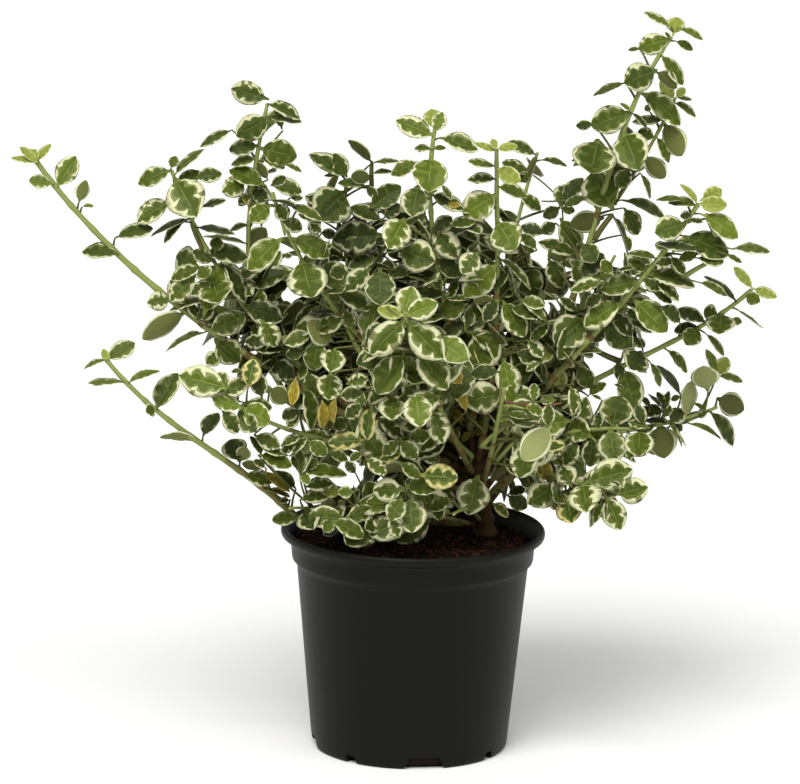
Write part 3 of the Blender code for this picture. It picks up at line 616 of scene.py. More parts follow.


# ---------------------------------------------------------------- what the photograph shows

# Leaves that it shows one by one, for each shoot: foot x, y, tip x, y, width (pixels) and look.
# The look is y young, l light, f fresh, m mid, d dark, b deep shade (a darker copy of the leaf colours, painted shade
# for leaves in the crown's shadow), c creamy, o old and yellow, g gold.
# With c after it the leaf has more cream, and with u its underside shows.
SEEN_LEAVES = {
    "far_left": (
        (38, 163, 28, 150, 14, "y"), (38, 163, 11, 158, 5, "y"), (40, 160, 51, 144, 8, "y"),
        (40, 162, 20, 147, 8, "y"), (52, 187, 29, 180, 12, "f"), (58, 186, 76, 156, 20, "f"),
        (79, 202, 86, 180, 12, "mu"), (82, 207, 94, 206, 3, "f"), (119, 254, 82, 252, 15, "d"),
        (115, 238, 153, 228, 13, "d"), (172, 296, 147, 303, 17, "mc"),
        (190, 305, 170, 280, 20, "c"), (188, 312, 140, 340, 18, "fu"),
        (205, 332, 166, 351, 6, "m"), (210, 335, 245, 315, 22, "m"), (215, 340, 240, 362, 24, "d"),
        (215, 305, 198, 318, 14, "b"), (222, 352, 206, 364, 14, "c"),
        (268, 360, 294, 378, 20, "b"), (212, 282, 191, 295, 14, "d"), (187, 300, 197, 318, 9, "d"),
        (285, 350, 255, 350, 10, "b"), (268, 342, 245, 342, 14, "b"),
    ),
    "low_left": (
        (107, 362, 103, 349, 7, "y"), (105, 361, 84, 369, 5, "f"), (110, 358, 135, 343, 16, "m"),
        (125, 383, 88, 383, 4, "f"), (130, 380, 160, 371, 8, "f"), (158, 407, 178, 373, 20, "d"),
        (157, 405, 146, 412, 12, "m"), (200, 441, 160, 437, 7, "mu"),
        (203, 437, 219, 413, 13, "b"), (240, 462, 231, 439, 24, "b"),
        (247, 470, 272, 483, 14, "m"), (300, 517, 272, 520, 12, "m"),
        (240, 463, 246, 447, 14, "cu"), (296, 489, 274, 471, 11, "b"),
        (267, 487, 290, 497, 5, "o"), (290, 500, 279, 501, 5, "b"), (262, 470, 242, 463, 8, "du"),
        (264, 468, 290, 492, 9, "g"),
    ),
    "left_mid": (
        (168, 171, 138, 184, 17, "m"), (172, 168, 176, 156, 9, "m"), (174, 175, 204, 149, 9, "m"),
        (174, 178, 197, 217, 38, "mc"), (195, 178, 222, 174, 14, "d"),
        (172, 201, 137, 222, 19, "mc"), (200, 208, 226, 200, 6, "b"), (188, 219, 151, 236, 7, "d"),
        (184, 222, 164, 243, 6, "d"), (199, 224, 235, 234, 6, "b"), (203, 254, 248, 258, 16, "b"),
        (215, 253, 218, 237, 12, "d"), (199, 267, 176, 256, 26, "m"),
        (197, 274, 170, 301, 20, "c"), (200, 267, 208, 277, 16, "m"),
        (222, 264, 246, 303, 17, "b"), (213, 281, 219, 303, 32, "m"),
        (247, 302, 283, 320, 22, "b"), (240, 318, 212, 330, 22, "m"),
        (177, 180, 203, 173, 13, "d"), (214, 262, 193, 251, 13, "d"),
        (201, 268, 171, 279, 12, "m"),
    ),
    "left_upper": (
        (271, 101, 231, 88, 22, "dc"), (270, 104, 300, 119, 13, "dc"),
        (266, 118, 302, 122, 6, "m"), (270, 118, 236, 136, 24, "d"), (232, 130, 200, 147, 10, "d"),
        (256, 146, 229, 150, 15, "d"), (258, 148, 297, 157, 25, "m"),
        (256, 160, 231, 165, 10, "m"), (266, 186, 229, 170, 17, "m"),
        (246, 182, 222, 192, 20, "fc"), (250, 195, 238, 203, 10, "c"),
        (262, 160, 285, 168, 8, "m"), (246, 225, 230, 231, 6, "b"), (247, 244, 203, 236, 5, "m"),
        (250, 206, 242, 196, 5, "g"), (246, 200, 238, 205, 6, "b"), (252, 190, 268, 200, 14, "b"),
        (250, 248, 266, 228, 18, "bu"), (290, 272, 250, 285, 18, "b"),
        (262, 297, 250, 275, 20, "b"), (262, 296, 288, 275, 18, "b"), (284, 164, 302, 172, 5, "m"),
        (268, 180, 257, 162, 9, "du"),
    ),
    "left_inner": (
        (267, 185, 302, 192, 15, "d"), (271, 205, 250, 221, 18, "f"),
        (275, 203, 287, 220, 14, "m"), (285, 218, 302, 230, 13, "d"), (288, 205, 322, 220, 8, "m"),
        (283, 238, 248, 270, 24, "f"), (290, 238, 330, 256, 22, "m"),
        (305, 256, 312, 298, 36, "m"), (335, 292, 371, 309, 18, "m"), (290, 198, 303, 198, 6, "b"),
        (283, 255, 292, 256, 5, "d"), (306, 372, 319, 397, 17, "d"), (268, 184, 286, 177, 10, "b"),
        (322, 233, 311, 224, 9, "d"), (371, 268, 345, 291, 18, "dc"),
        (354, 328, 345, 311, 13, "m"), (355, 322, 377, 316, 9, "du"),
        (312, 334, 342, 318, 17, "mc"), (311, 334, 284, 344, 15, "m"),
        (318, 338, 313, 371, 22, "m"), (345, 270, 330, 275, 14, "b"),
        (262, 320, 276, 347, 21, "mc"), (305, 350, 286, 356, 12, "b"),
    ),
    "mid_left": (
        (349, 178, 309, 154, 17, "dc"), (366, 186, 338, 183, 9, "d"),
        (372, 163, 348, 140, 9, "du"), (374, 161, 399, 161, 4, "d"), (372, 174, 393, 172, 5, "d"),
        (342, 191, 317, 220, 38, "b"), (370, 208, 401, 186, 21, "d"),
        (383, 235, 333, 240, 33, "b"), (340, 174, 324, 176, 4, "f"),
        (372, 178, 351, 176, 14, "bu"), (368, 187, 377, 197, 8, "bu"),
        (322, 221, 298, 214, 9, "d"), (338, 236, 322, 232, 9, "b"), (383, 221, 350, 207, 15, "b"),
        (345, 208, 367, 221, 4, "f"), (384, 218, 400, 204, 12, "b"), (351, 178, 334, 153, 15, "d"),
        (330, 208, 305, 196, 13, "mc"), (376, 258, 348, 268, 16, "d"),
        (348, 258, 328, 259, 6, "c"),
    ),
    "centre": (
        (435, 130, 432, 109, 18, "y"), (430, 135, 396, 120, 20, "fc"),
        (439, 138, 478, 150, 16, "mc"), (431, 149, 414, 149, 6, "m"), (431, 149, 446, 148, 5, "m"),
        (430, 157, 428, 192, 33, "f"), (418, 162, 391, 175, 14, "m"),
        (418, 185, 412, 217, 26, "m"), (405, 218, 388, 248, 28, "fc"),
        (430, 194, 464, 210, 13, "dc"), (400, 250, 435, 262, 30, "d"),
        (380, 268, 380, 305, 28, "d"), (462, 425, 452, 408, 8, "g"), (450, 414, 438, 406, 8, "c"),
        (470, 432, 462, 442, 5, "g"), (458, 440, 455, 428, 7, "o"), (468, 420, 476, 412, 6, "g"),
        (478, 428, 470, 418, 6, "o"), (474, 436, 486, 428, 5, "g"), (444, 400, 454, 402, 6, "g"),
        (437, 133, 443, 112, 13, "l"), (440, 200, 460, 206, 8, "g"), (441, 184, 452, 200, 6, "fc"),
        (436, 232, 452, 217, 14, "b"), (425, 268, 395, 272, 10, "b"), (428, 278, 398, 280, 8, "b"),
        (436, 228, 458, 258, 22, "dc"), (478, 252, 462, 274, 20, "mc"),
        (440, 258, 460, 276, 16, "b"), (430, 300, 441, 279, 14, "dc"),
        (450, 300, 457, 280, 9, "c"), (468, 304, 438, 312, 20, "m"), (470, 300, 447, 299, 7, "c"),
        (465, 322, 441, 336, 16, "b"),
    ),
    "right_centre": (
        (497, 152, 475, 143, 6, "y"), (497, 150, 492, 139, 7, "y"), (498, 150, 518, 146, 8, "y"),
        (495, 167, 468, 161, 6, "f"), (495, 180, 467, 180, 10, "dc"),
        (497, 168, 520, 182, 16, "y"), (500, 187, 527, 197, 11, "f"),
        (495, 194, 463, 215, 27, "l"), (500, 222, 515, 250, 30, "f"),
        (494, 264, 464, 296, 26, "l"), (502, 300, 525, 337, 22, "m"),
        (496, 330, 475, 368, 31, "m"), (503, 358, 512, 398, 23, "lc"),
        (504, 393, 464, 402, 29, "mc"), (537, 250, 521, 234, 10, "d"),
        (520, 300, 545, 306, 12, "m"), (545, 318, 512, 308, 14, "d"),
        (496, 302, 473, 301, 9, "mu"), (497, 300, 484, 322, 14, "b"),
        (501, 257, 531, 290, 9, "mc"), (547, 322, 524, 302, 9, "c"), (500, 292, 508, 268, 10, "b"),
        (530, 345, 548, 325, 9, "d"), (532, 408, 518, 385, 15, "mc"),
        (534, 402, 534, 383, 10, "fc"), (515, 352, 542, 362, 16, "b"),
        (540, 362, 526, 371, 8, "c"), (527, 340, 543, 357, 12, "dc"), (556, 400, 540, 401, 8, "f"),
    ),
    "back_right_top": (
        (541, 157, 508, 142, 10, "d"), (541, 160, 567, 166, 5, "d"), (529, 173, 502, 162, 11, "d"),
        (560, 207, 568, 184, 20, "d"), (506, 226, 510, 211, 19, "b"),
        (562, 204, 583, 178, 14, "b"), (560, 208, 575, 211, 8, "d"), (560, 218, 579, 249, 22, "m"),
        (518, 194, 541, 210, 12, "d"), (559, 212, 543, 217, 12, "b"),
        (545, 233, 520, 227, 12, "b"), (578, 255, 538, 242, 14, "d"),
        (530, 172, 519, 181, 10, "d"), (556, 223, 541, 233, 12, "b"), (521, 246, 534, 251, 8, "d"),
        (519, 260, 536, 297, 26, "d"), (548, 258, 562, 288, 18, "d"),
    ),
    "tall_right": (
        (672, 34, 677, 17, 17, "y"), (671, 27, 644, 12, 8, "fc"), (679, 30, 703, 40, 5, "f"),
        (674, 41, 638, 49, 19, "f"), (675, 41, 693, 50, 7, "d"), (657, 70, 624, 83, 26, "d"),
        (664, 57, 683, 85, 11, "m"), (656, 72, 677, 88, 14, "du"), (625, 83, 593, 96, 8, "d"),
        (629, 112, 591, 126, 25, "m"), (631, 113, 647, 128, 4, "b"), (598, 139, 591, 173, 42, "d"),
        (619, 131, 639, 170, 34, "m"), (613, 210, 591, 173, 36, "m"), (593, 124, 576, 126, 9, "b"),
        (640, 173, 650, 199, 6, "m"), (624, 208, 638, 235, 16, "b"), (622, 200, 665, 218, 8, "b"),
        (612, 214, 628, 255, 5, "d"), (604, 218, 570, 225, 20, "bu"),
        (582, 243, 596, 262, 18, "d"), (640, 49, 628, 50, 4, "d"), (670, 40, 665, 32, 3, "m"),
        (627, 111, 620, 103, 4, "f"), (586, 197, 564, 206, 9, "d"), (630, 168, 617, 188, 15, "d"),
        (623, 235, 630, 251, 6, "m"), (582, 276, 604, 254, 20, "b"), (574, 264, 578, 284, 9, "d"),
    ),
    "second_tall": (
        (674, 99, 660, 81, 11, "y"), (677, 98, 685, 88, 8, "y"), (680, 99, 692, 100, 4, "m"),
        (675, 103, 696, 117, 6, "m"), (641, 93, 682, 126, 19, "m"), (660, 118, 632, 122, 10, "m"),
        (665, 123, 682, 156, 21, "mu"), (658, 137, 669, 163, 10, "m"),
        (648, 157, 665, 178, 17, "du"), (655, 138, 638, 131, 12, "m"),
        (650, 112, 646, 105, 6, "mu"), (664, 99, 672, 108, 5, "c"),
    ),
    "right": (
        (693, 203, 668, 203, 9, "f"), (695, 203, 680, 184, 5, "y"), (697, 198, 722, 190, 15, "y"),
        (700, 205, 727, 205, 15, "y"), (701, 214, 738, 238, 17, "l"),
        (688, 224, 655, 233, 24, "m"), (683, 236, 729, 255, 23, "d"), (732, 249, 770, 252, 9, "m"),
        (658, 260, 628, 254, 7, "m"), (671, 256, 685, 275, 9, "m"), (697, 258, 724, 262, 13, "m"),
        (645, 275, 700, 287, 16, "m"), (640, 283, 600, 290, 20, "m"),
        (620, 300, 584, 327, 22, "f"), (634, 300, 667, 332, 24, "f"), (685, 200, 656, 200, 6, "m"),
        (690, 214, 680, 216, 8, "b"), (688, 222, 703, 222, 5, "b"), (699, 254, 679, 259, 10, "f"),
        (700, 250, 656, 244, 9, "b"), (648, 273, 630, 261, 10, "m"), (640, 268, 616, 271, 4, "b"),
        (698, 282, 727, 296, 6, "m"), (655, 283, 679, 301, 11, "mc"), (652, 292, 672, 303, 9, "b"),
        (600, 272, 611, 263, 14, "m"), (726, 254, 742, 263, 4, "m"), (676, 262, 655, 264, 10, "d"),
        (668, 249, 655, 244, 8, "d"), (602, 283, 570, 291, 14, "mc"),
        (602, 294, 586, 306, 12, "b"), (642, 278, 660, 290, 12, "d"),
        (660, 306, 680, 322, 12, "b"),
    ),
    "far_right": (
        (752, 288, 734, 267, 8, "y"), (754, 290, 777, 297, 10, "y"), (745, 295, 760, 302, 12, "f"),
        (738, 303, 704, 276, 8, "b"), (738, 310, 763, 328, 3, "m"), (730, 320, 742, 322, 7, "m"),
        (720, 317, 704, 310, 14, "m"), (722, 315, 719, 334, 26, "m"),
        (705, 320, 676, 310, 12, "b"), (702, 330, 674, 331, 10, "b"), (705, 333, 724, 356, 6, "m"),
        (641, 351, 630, 369, 27, "b"), (667, 350, 687, 373, 8, "m"), (649, 361, 660, 387, 6, "m"),
        (619, 363, 635, 410, 24, "m"), (602, 322, 632, 347, 24, "d"),
        (577, 365, 592, 388, 16, "d"), (585, 318, 555, 345, 32, "d"), (680, 323, 660, 307, 7, "d"),
        (700, 330, 686, 345, 18, "m"), (634, 338, 645, 347, 9, "b"), (626, 320, 652, 333, 9, "d"),
        (628, 308, 636, 320, 8, "d"), (617, 360, 620, 381, 9, "b"), (588, 396, 606, 383, 8, "m"),
        (612, 312, 632, 336, 16, "b"), (578, 312, 560, 298, 10, "b"),
        (604, 326, 594, 342, 12, "b"), (562, 391, 557, 367, 14, "yc"),
    ),
    "low_right": (
        (681, 396, 657, 365, 9, "b"), (708, 391, 703, 366, 26, "lu"),
        (717, 376, 727, 357, 14, "y"), (718, 377, 706, 349, 9, "f"), (720, 378, 743, 382, 6, "f"),
        (717, 398, 744, 410, 22, "bu"), (710, 414, 733, 446, 11, "b"),
        (688, 423, 721, 439, 6, "f"), (687, 422, 692, 381, 13, "lu"), (663, 417, 682, 447, 5, "c"),
        (660, 426, 664, 458, 27, "du"), (709, 414, 697, 417, 6, "d"), (706, 409, 694, 403, 4, "m"),
        (682, 396, 671, 400, 5, "d"), (662, 408, 648, 394, 4, "d"), (665, 408, 657, 392, 6, "b"),
        (650, 408, 641, 396, 5, "b"), (664, 412, 638, 412, 12, "b"), (668, 420, 684, 410, 16, "b"),
        (668, 412, 669, 391, 8, "c"), (664, 418, 670, 405, 8, "m"), (672, 418, 682, 431, 8, "b"),
        (668, 424, 645, 421, 7, "b"), (655, 428, 641, 432, 7, "b"),
    ),
    "mid_right_front": (
        (612, 428, 619, 396, 31, "d"), (610, 428, 615, 463, 27, "m"),
        (640, 425, 638, 456, 28, "m"), (592, 437, 566, 425, 24, "m"),
        (632, 440, 629, 460, 10, "c"), (602, 400, 592, 395, 3, "b"), (625, 390, 614, 384, 3, "b"),
        (578, 440, 565, 466, 16, "d"), (594, 440, 590, 467, 17, "b"), (598, 428, 599, 412, 9, "b"),
        (650, 428, 628, 422, 9, "mc"), (644, 425, 637, 405, 12, "b"),
        (570, 385, 574, 415, 12, "mc"), (580, 402, 573, 418, 9, "c"),
    ),
    "low_right_front": (
        (584, 484, 633, 469, 32, "c"), (583, 481, 587, 512, 30, "c"),
        (617, 494, 648, 487, 25, "c"), (606, 496, 621, 530, 22, "c"),
        (572, 487, 562, 466, 20, "c"), (566, 495, 572, 523, 25, "o"),
        (556, 485, 528, 504, 25, "c"), (507, 495, 527, 508, 15, "b"), (602, 503, 594, 523, 9, "c"),
        (604, 500, 605, 523, 7, "b"), (570, 492, 575, 516, 12, "m"), (520, 479, 535, 483, 13, "b"),
        (492, 503, 508, 517, 9, "o"), (503, 491, 527, 488, 8, "b"),
    ),
    "front_centre": (
        (405, 316, 412, 286, 24, "l"), (405, 316, 377, 309, 13, "y"),
        (405, 316, 438, 303, 20, "l"), (403, 320, 360, 364, 30, "mc"),
        (408, 323, 449, 364, 34, "mc"), (405, 352, 375, 396, 26, "m"),
        (412, 350, 455, 400, 26, "mc"), (335, 348, 330, 372, 24, "c"),
        (331, 372, 328, 400, 24, "mc"), (404, 338, 362, 362, 14, "mc"),
        (346, 384, 368, 378, 14, "mc"), (364, 392, 340, 396, 14, "d"),
        (418, 376, 404, 396, 16, "dc"), (462, 384, 450, 370, 12, "g"),
        (466, 412, 458, 390, 9, "g"), (500, 372, 470, 374, 14, "b"),
    ),
    "front_right": (
        (552, 425, 522, 460, 26, "lu"), (530, 440, 519, 478, 24, "m"),
        (530, 452, 565, 445, 12, "o"), (478, 475, 468, 515, 30, "c"),
        (415, 392, 420, 427, 26, "l"), (392, 395, 392, 420, 24, "c"),
        (521, 478, 504, 459, 11, "d"), (548, 482, 540, 460, 14, "g"),
        (378, 418, 403, 438, 16, "dc"), (548, 402, 548, 425, 12, "d"),
        (530, 418, 508, 414, 8, "m"),
    ),
    "front_left": (
        (228, 388, 174, 374, 34, "fc"), (242, 409, 212, 397, 16, "l"),
        (243, 408, 270, 422, 24, "l"), (222, 410, 238, 433, 15, "d"),
        (240, 415, 256, 432, 18, "d"), (254, 435, 280, 447, 15, "m"),
        (258, 455, 292, 466, 14, "m"), (226, 391, 247, 381, 16, "c"),
        (248, 388, 254, 359, 18, "o"), (262, 398, 256, 372, 16, "b"), (296, 377, 292, 405, 9, "g"),
        (270, 388, 288, 402, 18, "du"), (304, 385, 311, 430, 15, "d"),
        (300, 410, 282, 418, 12, "b"), (300, 414, 287, 428, 10, "c"),
        (322, 400, 322, 428, 11, "g"), (336, 397, 333, 423, 8, "g"), (348, 420, 333, 428, 13, "b"),
        (281, 446, 300, 436, 9, "m"), (298, 441, 281, 453, 9, "c"), (259, 446, 284, 455, 9, "c"),
        (266, 468, 254, 460, 6, "d"), (262, 456, 250, 436, 8, "m"), (292, 455, 307, 437, 8, "fc"),
        (297, 470, 292, 456, 6, "b"), (366, 404, 350, 390, 12, "m"), (362, 404, 346, 418, 14, "d"),
        (246, 404, 272, 408, 14, "d"), (242, 371, 231, 372, 4, "d"),
    ),
    "skirt_far": (
        (302, 473, 299, 449, 14, "c"), (303, 473, 347, 475, 14, "f"), (306, 470, 318, 459, 9, "m"),
        (301, 473, 309, 484, 10, "f"), (305, 487, 333, 483, 14, "c"),
        (300, 500, 328, 497, 12, "c"), (300, 478, 313, 450, 9, "mc"),
    ),
    "skirt_left": (
        (365, 440, 328, 443, 16, "o"), (332, 520, 364, 537, 15, "m"),
        (345, 515, 372, 508, 16, "m"), (330, 520, 324, 532, 12, "m"),
        (308, 440, 327, 455, 14, "m"), (328, 453, 348, 460, 9, "d"), (356, 474, 346, 461, 9, "b"),
        (362, 452, 350, 460, 8, "m"),
    ),
    "skirt_mid": (
        (400, 440, 383, 455, 12, "m"), (402, 438, 417, 458, 16, "m"),
        (400, 462, 420, 478, 12, "m"), (404, 490, 373, 490, 22, "c"),
        (405, 487, 440, 485, 18, "m"), (410, 497, 412, 533, 27, "c"),
        (402, 498, 390, 520, 18, "m"), (390, 515, 399, 538, 14, "c"),
        (354, 492, 338, 492, 11, "m"), (372, 405, 367, 440, 15, "o"),
        (402, 452, 380, 460, 12, "o"), (366, 458, 386, 474, 13, "mc"),
    ),
    "skirt_right": (
        (408, 437, 430, 435, 15, "m"), (420, 475, 458, 478, 24, "o"),
    ),
}
# Look b, the leaves that stand in shadow, gets the deep kind with its painted shade.
LOOKS = {"y": "young", "l": "light", "f": "fresh", "m": "mid", "d": "dark", "b": "deep",
         "c": "mid", "o": "yellow", "g": "gold"}
# Gaps of sky: x, y, half width, half height (pixels).
SKY = (
    (160, 357, 38, 24), (160, 250, 28, 30), (462, 172, 24, 26), (688, 360, 28, 20),
    (698, 303, 27, 13), (222, 208, 18, 19), (190, 412, 20, 18), (210, 157, 20, 12),
    (612, 245, 14, 20), (642, 233, 18, 14), (526, 213, 18, 9), (604, 391, 12, 17),
    (652, 386, 12, 14), (585, 208, 16, 7), (443, 211, 15, 8), (535, 188, 13, 7),
    (282, 429, 18, 5), (217, 437, 9, 11), (388, 182, 15, 6), (599, 360, 11, 6),
    (516, 159, 10, 6), (290, 294, 10, 6), (357, 195, 7, 7), (360, 469, 9, 7), (651, 342, 9, 6),
    (642, 108, 8, 7), (574, 299, 9, 6), (710, 400, 7, 8), (250, 460, 8, 7), (212, 232, 14, 5),
    (232, 246, 9, 4), (383, 165, 11, 3), (335, 463, 7, 5), (228, 369, 9, 6), (275, 228, 8, 5),
    (274, 380, 9, 6), (691, 265, 8, 5), (352, 452, 7, 5), (654, 150, 6, 7), (651, 127, 5, 6),
    (613, 343, 9, 8), (665, 68, 7, 5), (504, 255, 7, 4), (289, 262, 6, 6), (709, 424, 9, 7),
    (246, 440, 5, 5), (523, 494, 6, 4), (213, 276, 5, 5), (240, 213, 8, 18), (278, 415, 5, 4),
    (252, 447, 4, 8), (342, 446, 8, 4), (545, 183, 14, 10), (552, 235, 5, 6), (640, 185, 9, 9),
    (356, 197, 9, 9), (352, 214, 9, 3), (330, 225, 7, 5), (306, 226, 8, 3), (648, 70, 6, 5),
    (652, 85, 9, 3), (670, 63, 6, 7), (640, 105, 7, 6), (653, 415, 9, 3), (672, 409, 10, 2),
    (690, 408, 4, 8), (636, 463, 6, 5), (550, 520, 8, 8), (600, 470, 3, 4), (408, 150, 11, 9),
    (430, 207, 5, 9), (621, 232, 6, 22), (597, 405, 5, 14), (282, 431, 16, 4), (297, 427, 5, 4),
    (300, 206, 4, 4), (590, 205, 14, 4), (576, 213, 6, 3), (510, 203, 7, 5), (528, 214, 8, 7),
)
# Where the crown stands open to its inside: x, y, half width, half height (pixels), and the
# depth in front of which no grown leaf stands.
OPEN = ((478, 446, 34, 26, 0.010), (330, 420, 16, 12, 0.000), (300, 395, 14, 10, 0.000),
        (478, 532, 52, 17, 0.090), (368, 549, 70, 7, 0.090))


# ---------------------------------------------------------------- tubes


class Tubes:
    """Round tapering limbs gathered into one mesh, with swollen joints and fine ridges."""

    def __init__(self, sides):
        self.sides = sides
        self.points, self.faces, self.zones, self.count = [], [], [], 0

    def add(self, path, radii, zones, ridge=0.0, seed=0):
        sides = self.sides
        frame_up = None
        rings = []
        for i, p in enumerate(path):
            ahead = path[min(i + 1, len(path) - 1)] - path[max(i - 1, 0)]
            ahead.normalize()
            if frame_up is None:
                frame_up = ahead.orthogonal().normalized()
            frame_up = (frame_up - ahead * frame_up.dot(ahead)).normalized()
            across = ahead.cross(frame_up)
            for k in range(sides):
                a = math.tau * k / sides
                r = radii[i]
                if ridge:
                    r *= 1.0 + ridge * noise.noise(
                        Vector((math.cos(a) * 1.6, math.sin(a) * 1.6, i * 0.12 + seed * 7.3))
                    )
                rings.append(p + (frame_up * math.cos(a) + across * math.sin(a)) * r)
        faces, at = quads(len(path), sides, wrap=True)
        base = self.count
        self.points += [tuple(q) for q in rings]
        self.faces += [(base + a, base + b, base + c) for a, b, c in faces]
        self.zones += [zones[i] for i, _ in at]
        for ring, turn in ((0, True), (len(path) - 1, False)):
            first = base + ring * sides
            for k in range(1, sides - 1):
                tri = (first, first + k, first + k + 1)
                self.faces.append(tri[::-1] if turn else tri)
                self.zones.append(zones[min(ring, len(zones) - 1)])
        self.count += len(rings)

    def object(self, name, materials):
        return mesh_object(name, self.points, self.faces, self.zones, materials)


# ---------------------------------------------------------------- room for leaves


class Crown:
    """The masses of leaves, as rows of round slices across their shoots."""

    def __init__(self, shoots):
        rows = []
        for name, start, end, up, side, _, _ in LEAFY:
            shoot = shoots[name]
            count = max(3, math.ceil((end - start) * shoot.length / 0.007))
            for k in range(count + 1):
                s = k / count
                full = max(1.0 - (2.0 * s - 1.0) ** 2, 0.05) ** 0.30
                t = start + (end - start) * s
                rows.append(
                    (*shoot.at(t), *shoot.up, *shoot.side, *shoot.along, up * full, side * full)
                )
        rows = np.array(rows)
        self.at, self.up, self.side, self.along = rows[:, :3], rows[:, 3:6], rows[:, 6:9], rows[:, 9:12]
        self.high, self.wide = rows[:, 12], rows[:, 13]

    def reach(self, p):
        """0 on a shoot, 1 on the skin of the nearest mass, more outside."""
        away = np.array(p)[None, :] - self.at
        u = (away * self.up).sum(1) / self.high
        s = (away * self.side).sum(1) / self.wide
        a = (away * self.along).sum(1) / 0.012
        return math.sqrt((u * u + s * s + a * a).min())


class Seen:
    """Where the measured leaves stand in the photograph's frame, and how near, in small cells."""

    CELL = 3.0

    def __init__(self):
        self.near = np.full((int(IMAGE[1] / self.CELL) + 2, int(IMAGE[0] / self.CELL) + 2), np.inf)

    def cells(self, points):
        x, y = in_view(points)
        rows = np.clip((y / self.CELL).astype(int), 0, self.near.shape[0] - 1)
        columns = np.clip((x / self.CELL).astype(int), 0, self.near.shape[1] - 1)
        return rows, columns

    def add(self, points):
        rows, columns = self.cells(points)
        np.minimum.at(self.near, (rows, columns), points[:, 1])

    def covered_by(self, points):
        """The share of the measured leaves' cells that points would stand in front of."""
        near = self.near[self.cells(points)]
        return float(np.mean(np.isfinite(near) & (near > points[:, 1] + 0.002)))

    def hidden(self, points):
        """The share of the points that have a measured leaf in front of them."""
        near = self.near[self.cells(points)]
        return float(np.mean(near < points[:, 1] - 0.001))


def share_in(points, spots):
    """The largest share of the points that one of the ovals holds in view."""
    x, y = in_view(points)
    most = 0.0
    for spot in spots:
        inside = ((x - spot[0]) / spot[2]) ** 2 + ((y - spot[1]) / spot[3]) ** 2 < 1.0
        if len(spot) > 4:
            inside &= points[:, 1] < spot[4]
        most = max(most, float(inside.mean()))
    return most


# ---------------------------------------------------------------- growing the plant


